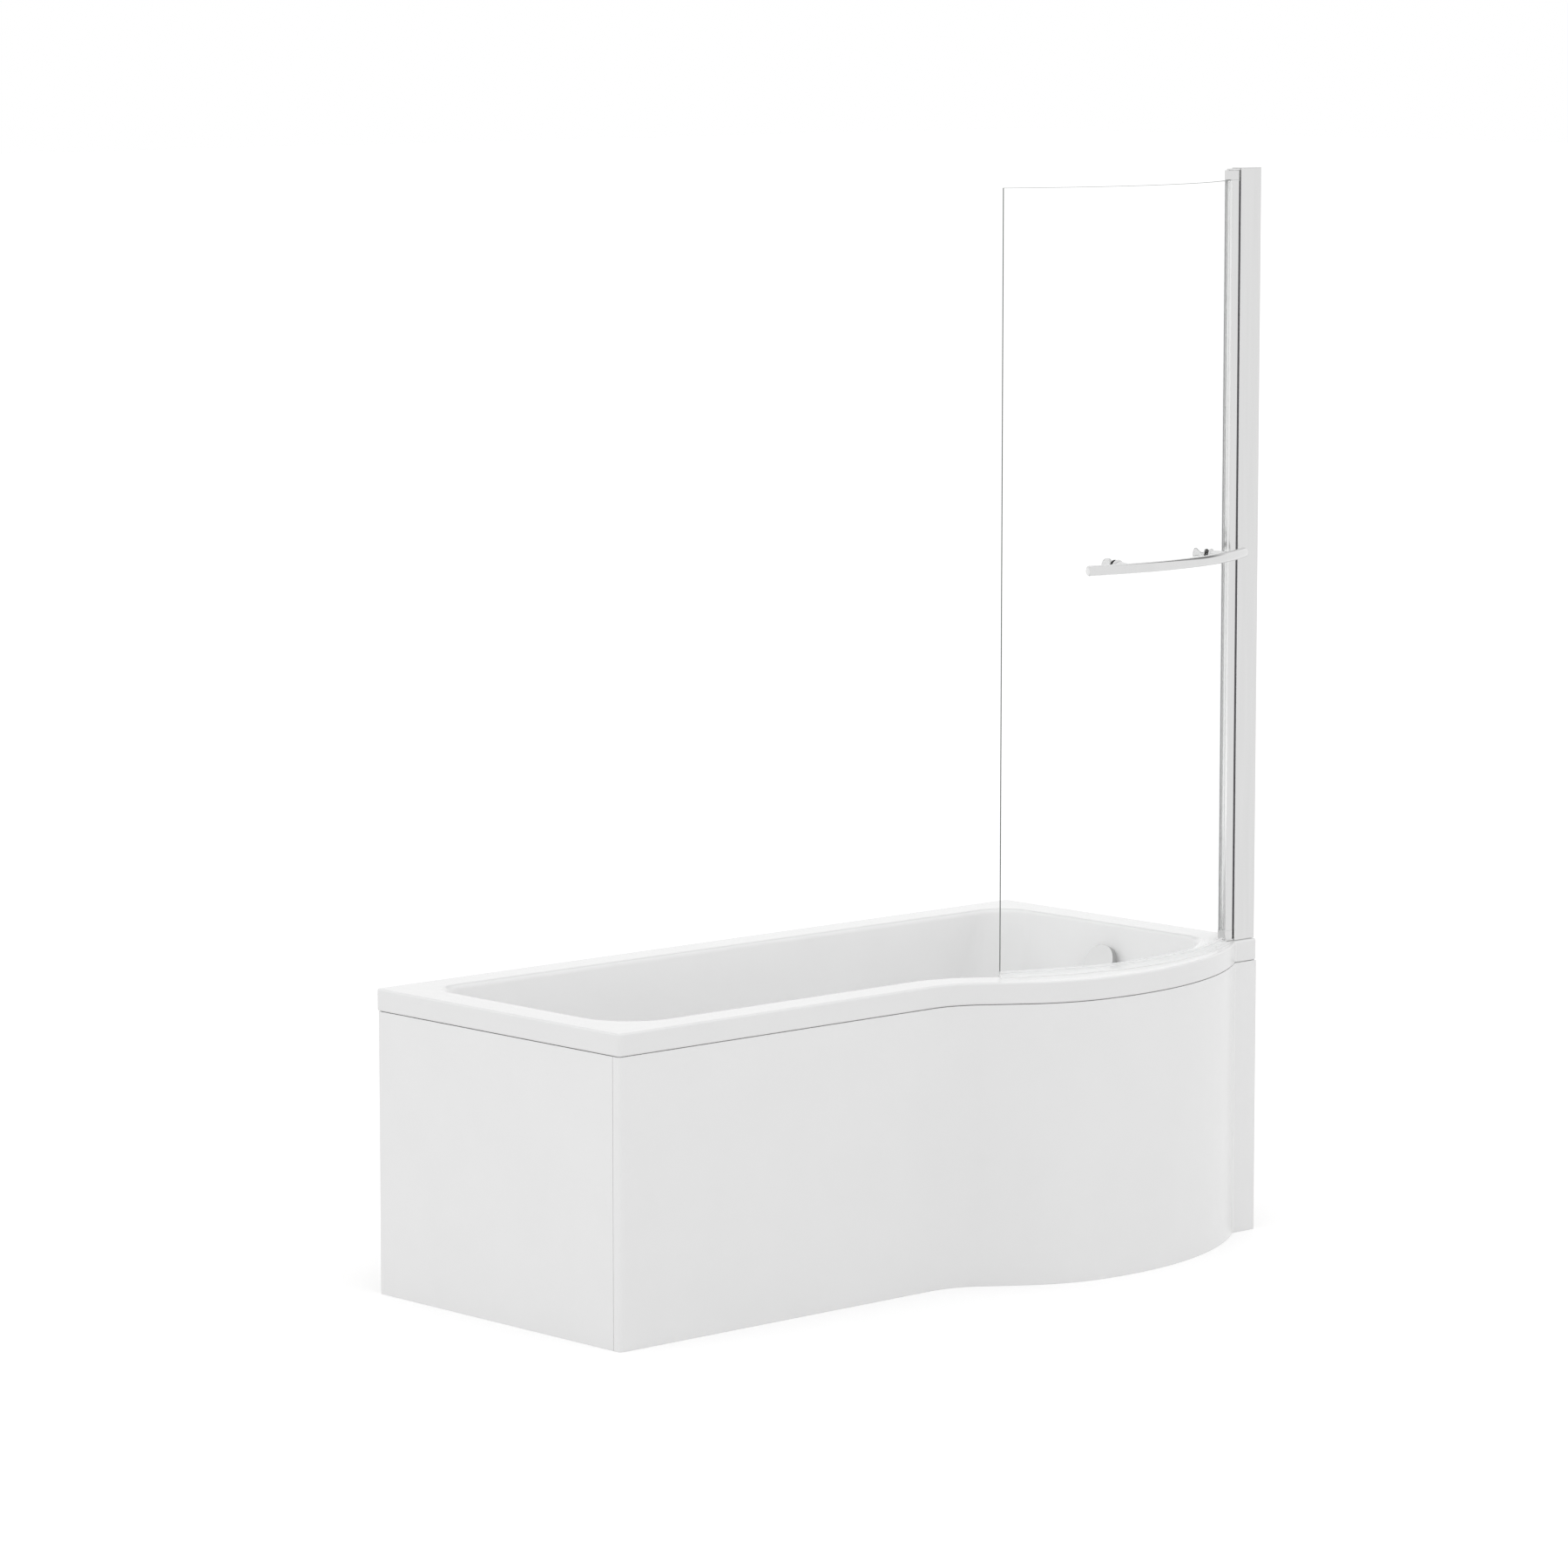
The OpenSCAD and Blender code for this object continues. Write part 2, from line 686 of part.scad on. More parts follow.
// Sheet clip that holds a panel's upper flange. Local Y points away from the panel's face.
module clip() {
    difference() {
        translate([-clip_width / 2, 0, 0]) union() {
            translate([0, flange_in + 1, lip_z - clip_sheet])
                cube([clip_width, batten_in - flange_in - 1, clip_sheet]);
            translate([0, flange_in + 1, panel_top - panel_wall - clip_sheet])
                cube([clip_width, clip_sheet, lip_z - panel_top + panel_wall + clip_sheet]);
            translate([0, flange_in - panel_flange / 2, panel_top - panel_wall - clip_sheet])
                cube([clip_width, panel_flange / 2 + 1 + clip_sheet, clip_sheet]);
        }
        translate([0, clip_screw_y, lip_z - clip_sheet - 1])
            cylinder(r = screw_r + fit, h = clip_sheet + 2);
    }
}

// Places what it draws at each clip
module at_clips() {
    for (c = clip_front) translate([c.x, c.y, 0]) children();
    for (y = clip_foot) translate([0, y, 0]) rotate([0, 0, -90]) children();
}

module panel_clips() {
    color("silver") at_clips() clip();
}

module rim_screw(y) {
    translate([0, y, lip_z - clip_sheet]) cylinder(r = screw_r, h = screw_length);
    translate([0, y, lip_z - clip_sheet - 2]) cylinder(r = 2 * screw_r, h = 2);
}

module clip_screws() {
    color("silver") at_clips() rim_screw(clip_screw_y);
}

module wall_brackets() {
    color("silver") for (x = bracket_x) difference() {
        translate([x - bracket_width / 2, 0, 0]) union() {
            translate([0, bath_width - batten_in, lip_z - clip_sheet])
                cube([bracket_width, batten_in, clip_sheet]);
            translate([0, bath_width - clip_sheet, lip_z - bracket_height])
                cube([bracket_width, clip_sheet, bracket_height]);
        }
        translate([x, bracket_screw_y, lip_z - clip_sheet - 1])
            cylinder(r = screw_r + fit, h = clip_sheet + 2);
        translate([x, bath_width + 1, lip_z - 0.6 * bracket_height]) rotate([90, 0, 0])
            cylinder(d = bracket_hole, h = clip_sheet + 2);
    }
}

module bracket_screws() {
    color("silver") for (x = bracket_x) translate([x, 0, 0]) rim_screw(bracket_screw_y);
}

// ---- Waste -------------------------------------------------------------------------------

seal_t = 1.5;
flange_t = 3;
bore_r = waste_bore / 2;
flange_top = floor_z + seal_t + flange_t;
body_r = flange_diameter / 2;
body_z = under_z - seal_t;
body_wall = 3;
body_drop = 70;
body_end = body_z - body_drop;
inlet_z = body_z - body_drop / 2 - 5;
inlet_reach = 26;
stem_r = stem_diameter / 2;
guide_z = body_z - 34;
guide_h = 10;
plug_t = 5;
plug_z = flange_top + seal_t + 0.3;
// Stroke of the plug; its stem reaches this far below the guide when it is shut
plug_lift = 10;

module tube(r_out, r_in, h) {
    difference() {
        cylinder(r = r_out, h = h);
        translate([0, 0, -1]) cylinder(r = r_in, h = h + 2);
    }
}

module at_waste(z) {
    translate([waste_c.x, waste_c.y, z]) children();
}

module waste_flange() {
    color("gainsboro") at_waste(0) difference() {
        union() {
            translate([0, 0, floor_z + seal_t]) cylinder(r = body_r, h = flange_t);
            translate([0, 0, body_z + 1]) cylinder(r = bore_r + 2, h = flange_top - body_z - 2);
        }
        translate([0, 0, body_z - 1]) cylinder(r = bore_r, h = flange_top - body_z + 2);
    }
}

module waste_seals() {
    color("dimgray") {
        at_waste(floor_z) tube(body_r - 2, bore_r + 3, seal_t);
        at_waste(body_z) tube(body_r - 2, bore_r + 3, seal_t);
    }
}

// Cup under the shell with a side inlet for the overflow, a stem guide and a threaded outlet
module waste_body() {
    color("whitesmoke") at_waste(0) difference() {
        union() {
            translate([0, 0, body_z - 4]) cylinder(r = body_r, h = 4);
            translate([0, 0, body_end]) cylinder(r = bore_r + 2 * body_wall, h = body_drop - 2);
            translate([0, 0, body_end - outlet_length])
                cylinder(d = outlet_diameter, h = outlet_length + 2);
            translate([0, 0, inlet_z]) rotate([0, 90, 0])
                cylinder(r = pipe_diameter / 2 - pipe_wall - fit, h = bore_r + inlet_reach);
        }
        difference() {
            translate([0, 0, body_end - outlet_length - 1])
                cylinder(r = bore_r - 1, h = body_drop + outlet_length + 2);
            translate([0, 0, guide_z]) cylinder(r = stem_r + 4, h = guide_h);
            for (a = [0 : 120 : 240]) rotate([0, 0, a + 60])
                translate([0, -1.5, guide_z]) cube([bore_r, 3, guide_h]);
        }
        translate([0, 0, guide_z - 1]) cylinder(r = stem_r + running, h = guide_h + 2);
        translate([0, 0, body_z - 3]) cylinder(r = bore_r + 2.3, h = 4);
        translate([bore_r - 3, 0, inlet_z]) rotate([0, 90, 0])
            cylinder(r = pipe_diameter / 2 - 2 * pipe_wall, h = inlet_reach + 4);
    }
}

module waste_plug() {
    dome_r = 160;
    color("gainsboro") at_waste(plug_z) union() {
        cylinder(d = plug_diameter, h = plug_t / 2);
        intersection() {
            cylinder(d = plug_diameter, h = plug_t);
            translate([0, 0, plug_t - dome_r]) sphere(r = dome_r, $fn = 200);
        }
        translate([0, 0, guide_z - plug_lift - plug_z])
            cylinder(r = stem_r, h = plug_z - guide_z + plug_lift + 1);
    }
}

module plug_seal() {
    color("dimgray") at_waste(plug_z - seal_t) tube(bore_r + 4, bore_r - 3, seal_t);
}

// ---- Overflow ----------------------------------------------------------------------------

back_z = -shell_wall - washer_t;
pipe_r = pipe_diameter / 2;
elbow_c = [
    overflow_x - back_z * cos(tap_angle) + housing_depth / 2 * cos(tap_angle),
    overflow_z - (housing_depth / 2 - back_z) * sin(tap_angle)
];
pipe_top = elbow_c.y - housing_r - 8;
bend_r = 50;
pipe_low = inlet_z;
spigot_r = pipe_r - pipe_wall - fit;

// Round dial with a softened edge; its spindle turns in the overflow plate
module overflow_knob() {
    edge = 2.5;
    color("gainsboro") at_overflow() translate([0, 0, plate_t + washer_t / 2 + knob_gap]) union() {
        rotate_extrude() union() {
            square([knob_r - edge, knob_thickness]);
            square([knob_r, knob_thickness - edge]);
            translate([knob_r - edge, knob_thickness - edge]) circle(r = edge, $fn = 48);
        }
        translate([0, 0, -24]) cylinder(r = spindle_r, h = 25);
    }
}

// Fixed plate behind the knob, with water slots and a neck through the tub's wall
module overflow_plate() {
    color("silver") at_overflow() translate([0, 0, washer_t / 2]) difference() {
        union() {
            cylinder(r = plate_r, h = plate_t);
            translate([0, 0, back_z - washer_t]) cylinder(r = neck_r, h = plate_t - back_z);
        }
        translate([0, 0, back_z - washer_t - 1]) difference() {
            cylinder(r = neck_r - 3, h = plate_t - back_z - 1);
            translate([0, 0, -1]) cylinder(r = spindle_r + 3, h = plate_t - back_z + 2);
        }
        translate([0, 0, back_z - washer_t - 1])
            cylinder(r = spindle_r + running, h = plate_t - back_z + 6);
        for (a = [0 : 60 : 300]) rotate([0, 0, a]) translate([14, 0, -1])
            cylinder(r = 4, h = plate_t + 2);
    }
}

module overflow_seals() {
    color("dimgray") at_overflow() {
        translate([0, 0, seat]) tube(plate_r - 1, neck_r + neck_gap, washer_t / 2 - seat);
        translate([0, 0, back_z]) tube(housing_r, neck_r + neck_gap, washer_t - seat);
    }
}

// Closed box behind the wall with a spigot that points straight down
module overflow_elbow() {
    color("whitesmoke") difference() {
        union() {
            at_overflow() translate([0, 0, back_z - housing_depth])
                cylinder(r = housing_r, h = housing_depth);
            translate([elbow_c.x, waste_y, pipe_top - 20])
                cylinder(r = spigot_r, h = elbow_c.y - pipe_top + 20);
        }
        at_overflow() translate([0, 0, back_z - housing_depth + 3])
            cylinder(r = neck_r + neck_gap, h = housing_depth);
        translate([elbow_c.x, waste_y, pipe_top - 21])
            cylinder(r = spigot_r - pipe_wall, h = elbow_c.y - pipe_top + 10);
    }
}

// Upright part of the run from the overflow down to the waste
module drop(r, top_z) {
    translate([elbow_c.x, waste_y, pipe_low + bend_r])
        cylinder(r = r, h = top_z - pipe_low - bend_r);
}

// Quarter bend at the foot of that run
module bend(r) {
    translate([elbow_c.x - bend_r, waste_y, pipe_low + bend_r]) rotate([90, 0, 0])
        rotate([0, 0, -90]) rotate_extrude(angle = 90) translate([bend_r, 0]) circle(r = r);
}

// Level part of that run, to its end near the waste
module level_run(r, end_x) {
    translate([end_x, waste_y, pipe_low]) rotate([0, 90, 0])
        cylinder(r = r, h = elbow_c.x - bend_r - end_x);
}

// Upright and level pipes between the overflow and the waste
module overflow_pipes() {
    bore = pipe_r - pipe_wall;
    end_x = waste_c.x + bore_r + 2 * body_wall + 2;
    color("whitesmoke") {
        difference() {
            drop(pipe_r, pipe_top);
            translate([0, 0, -1]) drop(bore, pipe_top + 3);
        }
        difference() {
            level_run(pipe_r, end_x);
            translate([1, 0, 0]) level_run(bore, end_x - 3);
        }
    }
}

// Bend that joins the two pipes
module overflow_bend() {
    color("whitesmoke") difference() {
        bend(pipe_r);
        bend(pipe_r - pipe_wall);
    }
}

// Sheathed cable that links the knob to the plug, beside the pipe from housing to waste cup
module popup_cable() {
    r = 2.5;
    side = pipe_r + 0.5;
    cup_r = bore_r + 2 * body_wall;
    ferrule = 6;
    color("dimgray") translate([0, side + r, 0]) {
        drop(r, elbow_c.y - 25);
        bend(r);
        level_run(r, waste_c.x + sqrt(cup_r * cup_r - side * side) + fit);
        translate([elbow_c.x, waste_y, pipe_low + bend_r])
            cylinder(r = r + 0.3, h = ferrule, center = true);
        translate([elbow_c.x - bend_r, waste_y, pipe_low]) rotate([0, 90, 0])
            cylinder(r = r + 0.3, h = ferrule, center = true);
    }
}

// ---- Screen: wall side -------------------------------------------------------------------

profile_x = bath_length - wall_profile_width;
hinge_x1 = profile_x - hinge_gap;
hinge_x0 = hinge_x1 - hinge_width;
pivot = [hinge_x0 + hinge_width / 2 - 1.5, hinge_depth / 2 + cap_lip / 2];
profile_low = rim_height + 0.5;
plate_low = rim_height + seal_gap + 0.2;
cap_low = plate_low + tongue + 0.5;
hinge_low = cap_low + cap_low_height;
tongue_top = screen_height - tongue;
cap_top = tongue_top - 0.4;
hinge_top = cap_top - cap_top_height;
pin_r = pin_diameter / 2;
pin_length = tongue + 13;
bracket_block = 20;
post_x0 = profile_x + 1;
post_y0 = wall_profile_wall + post_gap;
post_depth = wall_profile_depth - 2 * post_y0;
wall_holes = [for (s = [-1, 1])
    (profile_low + screen_height) / 2 + s * wall_hole_spacing / 2];
// Places of the screws that clamp the post in the channel, on the bath's side
post_screws_at = [for (k = [0.1, 0.5, 0.9])
    [post_x0 + post_width / 2, wall_profile_depth, profile_low + k * (screen_height - profile_low)]];

// Channel screwed to the wall, open towards the post
module wall_profile() {
    h = screen_height - profile_low;
    color("lightgray") difference() {
        translate([profile_x, 0, profile_low]) cube([wall_profile_width, wall_profile_depth, h]);
        translate([profile_x - 1, wall_profile_wall, profile_low - 1])
            cube([wall_profile_width - wall_profile_wall + 1,
                wall_profile_depth - 2 * wall_profile_wall, h + 2]);
        for (z = wall_holes) translate([bath_length - wall_profile_wall - 1,
            wall_profile_depth / 2, z]) rotate([0, 90, 0])
            cylinder(d = wall_hole, h = wall_profile_wall + 2);
        for (p = post_screws_at) translate(p + [0, 1, 0]) rotate([90, 0, 0])
            cylinder(r = screw_r + fit, h = wall_profile_wall + 1.5);
    }
}

// Screws that hold the post at its depth in the channel
module post_screws() {
    color("silver") for (p = post_screws_at) translate(p) rotate([90, 0, 0]) {
        cylinder(r = screw_r, h = wall_profile_wall + post_gap + post_wall + 2.5);
        translate([0, 0, -2]) cylinder(r = 2 * screw_r, h = 2);
    }
}

// Cap that closes the channel's top, with a plug behind the post's end block
module profile_cap() {
    plug_x = post_x0 + post_width + 2;
    plug = 10;
    color("lightgray") union() {
        translate([profile_x, 0, screen_height])
            cube([wall_profile_width, wall_profile_depth, profile_cap_plate]);
        translate([plug_x, post_y0, screen_height - plug])
            cube([bath_length - wall_profile_wall - post_gap - plug_x, post_depth,
                plug + profile_cap_plate / 2]);
    }
}

// Box section that slides in the channel when the screen is set upright
module adjusting_post() {
    z0 = plate_low + bracket_block;
    h = screen_height - bracket_block - 5 - z0;
    color("gray") difference() {
        translate([post_x0, post_y0, z0]) cube([post_width, post_depth, h]);
        translate([post_x0 + post_wall, post_y0 + post_wall, z0 - 1])
            cube([post_width - 2 * post_wall, post_depth - 2 * post_wall, h + 2]);
        for (p = post_screws_at) translate(p - [0, wall_profile_wall, 0]) rotate([90, 0, 0])
            cylinder(r = screw_r + fit, h = post_gap + post_wall + 1);
    }
}

// End block of the post with a tongue that reaches the pivot
module hinge_bracket(block_z, block_h, tongue_z) {
    tip = 9;
    color("lightgray") difference() {
        union() {
            translate([profile_x, post_y0, block_z])
                cube([post_width + 1, post_depth, block_h]);
            translate([pivot.x, pivot.y - tip, tongue_z])
                cube([profile_x - pivot.x + 2, 2 * tip, tongue]);
            translate([pivot.x, pivot.y, tongue_z]) cylinder(r = tip, h = tongue);
        }
        translate([pivot.x, pivot.y, tongue_z - 1])
            cylinder(r = pin_r + fit / 2, h = tongue + 2);
    }
}

module hinge_bracket_low() {
    hinge_bracket(plate_low, bracket_block, plate_low);
}

module hinge_bracket_top() {
    hinge_bracket(screen_height - bracket_block - 5, bracket_block + 5, tongue_top);
}

module hinge_pins() {
    color("silver") {
        translate([pivot.x, pivot.y, plate_low]) cylinder(r = pin_r, h = pin_length);
        translate([pivot.x, pivot.y, screen_height - pin_length])
            cylinder(r = pin_r, h = pin_length);
    }
}

// ---- Screen: swinging side ---------------------------------------------------------------

glass_c = [bath_length - glass_centre_x, glass_centre_y];
glass_low = rim_height + glass_lift;
glass_top = hinge_top;
bite_x = hinge_x0 + glass_bite;
// Angle round the glass's curve at a distance along the bath
function at_x(x) = asin((x - glass_c.x) / glass_radius);
glass_end = at_x(bite_x);
// Angle where the glass's outer face passes the caps' edge
cap_edge = asin((hinge_x0 - cap_lip - 0.5 - glass_c.x) / (glass_radius + glass_thickness / 2));

// Ring sector round the middle of the glass's curve, from angle a0 to a1 measured from -Y
module sector(r0, r1, a0, a1, z0, z1) {
    translate([glass_c.x, glass_c.y, 0]) rotate([0, 0, a0 - 90])
        rotate_extrude(angle = a1 - a0, $fn = 360) translate([r0, z0]) square([r1 - r0, z1 - z0]);
}

module rounded_box(x0, y0, x1, y1, r, z, h) {
    translate([x0, y0, z]) linear_extrude(h) union() {
        translate([r, 0]) square([x1 - x0 - 2 * r, y1 - y0]);
        translate([0, r]) square([x1 - x0, y1 - y0 - 2 * r]);
        for (x = [r, x1 - x0 - r], y = [r, y1 - y0 - r]) translate([x, y]) circle(r = r, $fn = 48);
    }
}

// Chrome extrusion with a slot for the glass and a long chamber behind it
module hinge_profile() {
    half = glass_thickness / 2 + gasket + fit;
    color("lightgray") difference() {
        rounded_box(hinge_x0, 0, hinge_x1, hinge_depth, hinge_corner, hinge_low,
            hinge_top - hinge_low);
        sector(glass_radius - half, glass_radius + half, at_x(hinge_x0 - 12), at_x(bite_x + 0.5),
            hinge_low - 1, hinge_top + 1);
        translate([bite_x + 4, 3, hinge_low - 1])
            cube([hinge_x1 - bite_x - 6, hinge_depth - 6, hinge_top - hinge_low + 2]);
    }
}

// End cap of the swinging profile, bored for its bush
module hinge_cap(z, h) {
    color("lightgray") difference() {
        rounded_box(hinge_x0 - cap_lip, 0, hinge_x1, hinge_depth + cap_lip, hinge_corner, z, h);
        translate([pivot.x, pivot.y, z - 1]) cylinder(r = pin_r + bush_wall + fit / 2, h = h + 2);
    }
}

module hinge_cap_low() {
    hinge_cap(cap_low, cap_low_height);
}

module hinge_cap_top() {
    hinge_cap(hinge_top, cap_top_height);
}

module pivot_bushes() {
    color("white") {
        translate([pivot.x, pivot.y, cap_low])
            tube(pin_r + bush_wall, pin_r + running, cap_low_height);
        translate([pivot.x, pivot.y, hinge_top])
            tube(pin_r + bush_wall, pin_r + running, cap_top_height);
    }
}

post_angles = [for (s = [-1, 1]) rail_middle_angle + s * post_half_angle];
post_start = glass_thickness / 2 + gasket;
// Flat washers stand this much further off the hollow side of the curved glass
hollow_seat = pow(rail_post_base / 2, 2) / (2 * (glass_radius - glass_thickness / 2));
knob_start = post_start + hollow_seat;
stud_r = 4;

// Moves what it draws to a rail post, with +X out of the glass towards the rail
module at_post(a) {
    translate([glass_c.x, glass_c.y, rail_height]) rotate([0, 0, a - 90])
        translate([glass_radius, 0, 0]) children();
}

module screen_glass() {
    half = glass_thickness / 2;
    color("lightcyan", 0.35) difference() {
        sector(glass_radius - half, glass_radius + half, -glass_free_angle, glass_end,
            glass_low, glass_top);
        sector(glass_radius - half - 1, glass_radius + half + 1, cap_edge, glass_end + 1,
            glass_low - 1, hinge_low + fit);
        for (a = post_angles) at_post(a) rotate([0, 90, 0]) translate([0, 0, -half - 1])
            cylinder(r = stud_r + 1, h = glass_thickness + 2);
    }
}

module glazing_strips() {
    half = glass_thickness / 2 + fit / 2;
    a0 = at_x(hinge_x0 + 1);
    color("dimgray") {
        sector(glass_radius + half, glass_radius + half + gasket, a0, glass_end,
            hinge_low + 1, hinge_top - 1);
        sector(glass_radius - half - gasket, glass_radius - half, a0, glass_end,
            hinge_low + 1, hinge_top - 1);
    }
}

// Angle left free between the seal and the hinge cap, so that its fins clear the wall profile
seal_clear_angle = 1.3;

// Clear strip on the glass's lower edge: a grip channel, two outer fins and an inner fin
module bottom_seal() {
    half = glass_thickness / 2 + fit;
    w = seal_wall;
    z0 = rim_height + seal_gap;
    zc = glass_low - fit - w;
    a0 = -glass_free_angle;
    a1 = cap_edge - seal_clear_angle;
    color("whitesmoke") translate([glass_c.x, glass_c.y, 0]) rotate([0, 0, a0 - 90])
        rotate_extrude(angle = a1 - a0, $fn = 360) translate([glass_radius, 0]) difference() {
            polygon([
                [-half - w, glass_low + seal_grip], [-half - w, zc], [-half - 7, z0 + 0.2],
                [-half - 7 + w, z0], [-half, zc - 1], [half, zc - 1], [half + 8, z0],
                [half + 8 + w, z0 + 0.2], [half + w + 1, zc], [fin_reach - w, z0],
                [fin_reach, z0 + 0.6], [half + w, zc + 2 * w], [half + w, glass_low + seal_grip]
            ]);
            translate([-half, zc + w]) square([2 * half, seal_grip + w + 5]);
        }
}

// ---- Towel rail --------------------------------------------------------------------------

rail_r = rail_diameter / 2;

module towel_rail() {
    color("gainsboro") translate([glass_c.x, glass_c.y, rail_height])
        rotate([0, 0, rail_middle_angle - rail_half_angle - 90])
            rotate_extrude(angle = 2 * rail_half_angle) translate([glass_radius + rail_offset, 0])
                circle(r = rail_r, $fn = 64);
}

// Domed caps on the rail's two ends
module rail_caps() {
    dome = 1.2 * rail_r;
    height = dome - sqrt(dome * dome - rail_r * rail_r);
    color("gainsboro") for (s = [-1, 1])
        translate([glass_c.x, glass_c.y, rail_height])
            rotate([0, 0, rail_middle_angle + s * rail_half_angle - 90])
                translate([glass_radius + rail_offset, 0, 0]) rotate([-s * 90, 0, 0])
                    intersection() {
                        translate([0, 0, height - dome]) sphere(r = dome, $fn = 64);
                        cylinder(r = rail_r, h = height);
                    }
}

// Post from the glass to the rail, hollowed to the rail's curve
module rail_posts() {
    reach = rail_offset - post_start;
    color("gainsboro") for (a = post_angles) difference() {
        at_post(a) translate([post_start, 0, 0]) rotate([0, 90, 0]) union() {
            cylinder(d = rail_post_base, h = 3);
            cylinder(d1 = rail_post_base - 6, d2 = rail_diameter - rail_post_step, h = reach);
        }
        translate([glass_c.x, glass_c.y, rail_height]) rotate([0, 0, a - 100])
            rotate_extrude(angle = 20) translate([glass_radius + rail_offset, 0])
                circle(r = rail_r + fit, $fn = 64);
    }
}

module rail_knobs() {
    head = 3;
    flare = 9;
    color("gainsboro") for (a = post_angles) at_post(a) translate([-knob_start, 0, 0])
        rotate([0, -90, 0]) difference() {
            union() {
                cylinder(d = rail_post_base - 2, h = 2.5);
                cylinder(d = 12, h = rail_knob_length);
                translate([0, 0, rail_knob_length - head - flare])
                    cylinder(d1 = 12, d2 = rail_knob_diameter - 1, h = flare);
                translate([0, 0, rail_knob_length - head])
                    cylinder(d = rail_knob_diameter, h = head);
            }
            translate([0, 0, -1]) cylinder(r = stud_r + fit, h = 13);
        }
}

module rail_gaskets() {
    color("black") for (a = post_angles) at_post(a) rotate([0, 90, 0]) {
        translate([0, 0, glass_thickness / 2]) tube(rail_post_base / 2 - 1, stud_r + 1, gasket);
        translate([0, 0, -knob_start]) tube(rail_post_base / 2 - 1, stud_r + 1, gasket);
    }
}

// Studs that clamp each post and its knob through the glass
module rail_studs() {
    color("silver") for (a = post_angles) at_post(a) rotate([0, 90, 0])
        translate([0, 0, -post_start - 11]) cylinder(r = stud_r, h = post_start + 11 + post_start);
}

// ---- Assembly ----------------------------------------------------------------------------

translate(shift) bath_shell();
translate(shift) base_board();
translate(shift) front_batten();
translate(shift) back_batten();
translate(shift) end_battens();
translate(shift) leg_bar_foot();
translate(shift) leg_bar_tap();
translate(shift) centre_leg_plate();
translate(shift) frame_screws();
translate(shift) leg_rods();
translate(shift) leg_nuts();
translate(shift) leg_feet();
translate(shift) front_panel();
translate(shift) end_panel();
translate(shift) panel_clips();
translate(shift) clip_screws();
translate(shift) wall_brackets();
translate(shift) bracket_screws();
translate(shift) waste_flange();
translate(shift) waste_seals();
translate(shift) waste_body();
translate(shift) waste_plug();
translate(shift) plug_seal();
translate(shift) overflow_knob();
translate(shift) overflow_plate();
translate(shift) overflow_seals();
translate(shift) overflow_elbow();
translate(shift) overflow_pipes();
translate(shift) overflow_bend();
translate(shift) popup_cable();
translate(shift) wall_profile();
translate(shift) profile_cap();
translate(shift) post_screws();
translate(shift) adjusting_post();
translate(shift) hinge_bracket_low();
translate(shift) hinge_bracket_top();
translate(shift) hinge_pins();
translate(shift) hinge_profile();
translate(shift) hinge_cap_low();
translate(shift) hinge_cap_top();
translate(shift) pivot_bushes();
translate(shift) screen_glass();
translate(shift) glazing_strips();
translate(shift) bottom_seal();
translate(shift) towel_rail();
translate(shift) rail_caps();
translate(shift) rail_posts();
translate(shift) rail_knobs();
translate(shift) rail_gaskets();
translate(shift) rail_studs();
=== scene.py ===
"""Looks of the P shaped shower bath and its curved glass screen.

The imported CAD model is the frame. Each sub-assembly builds the pieces that show in full and
dresses the ones that are kept from the frame. Sizes are in bath millimetres: X from the foot end
to the tap end, Y from the open front to the wall, Z up from the floor.
"""

import logging
import math
from dataclasses import dataclass, field
from enum import Enum
from typing import Sequence

import bmesh
import bpy
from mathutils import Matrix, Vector

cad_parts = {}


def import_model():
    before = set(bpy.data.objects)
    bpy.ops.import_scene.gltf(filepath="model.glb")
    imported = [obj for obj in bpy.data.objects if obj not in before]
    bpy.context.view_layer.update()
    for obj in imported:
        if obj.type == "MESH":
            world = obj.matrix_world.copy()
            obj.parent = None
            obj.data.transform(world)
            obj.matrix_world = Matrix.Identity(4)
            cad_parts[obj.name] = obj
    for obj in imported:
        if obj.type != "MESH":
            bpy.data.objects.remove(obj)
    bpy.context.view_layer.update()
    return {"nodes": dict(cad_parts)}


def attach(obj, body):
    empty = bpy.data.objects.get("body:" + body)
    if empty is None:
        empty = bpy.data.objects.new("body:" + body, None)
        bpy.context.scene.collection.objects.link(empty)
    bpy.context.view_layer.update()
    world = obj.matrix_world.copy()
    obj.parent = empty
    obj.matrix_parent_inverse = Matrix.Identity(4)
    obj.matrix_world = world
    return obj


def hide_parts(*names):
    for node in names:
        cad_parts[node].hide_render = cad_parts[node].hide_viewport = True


Point2 = tuple[float, float]
Point3 = tuple[float, float, float]
Ring = list[Point3]
Colour = tuple[float, float, float]

LOG = logging.getLogger("shower_bath")
MM = 0.001
HALF_LENGTH = 837.5
MIDDLE_Y = 275.5
MERGE_DISTANCE = 1e-7


class Body(Enum):
    """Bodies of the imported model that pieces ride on."""

    BATH = "bath"
    SCREEN = "screen"
    DIAL = "overflow_dial"
    PLUG = "plug"


class Slot(Enum):
    """Material slots."""

    ACRYLIC = "acrylic"
    PANEL = "panel"
    CHROME = "chrome"
    PROFILE = "profile"
    SEAL = "seal"
    GLASS = "glass"
    CLEAR_STRIP = "clear_strip"


# ---- Shapes --------------------------------------------------------------------------------


def place(point: Sequence[float]) -> Vector:
    """Moves a point of the bath into the row frame.

    Args:
        point: The point in bath millimetres.

    Returns:
        The same point in metres, in the row frame.
    """
    return Vector(((point[0] - HALF_LENGTH) * MM, (point[1] - MIDDLE_Y) * MM, point[2] * MM))


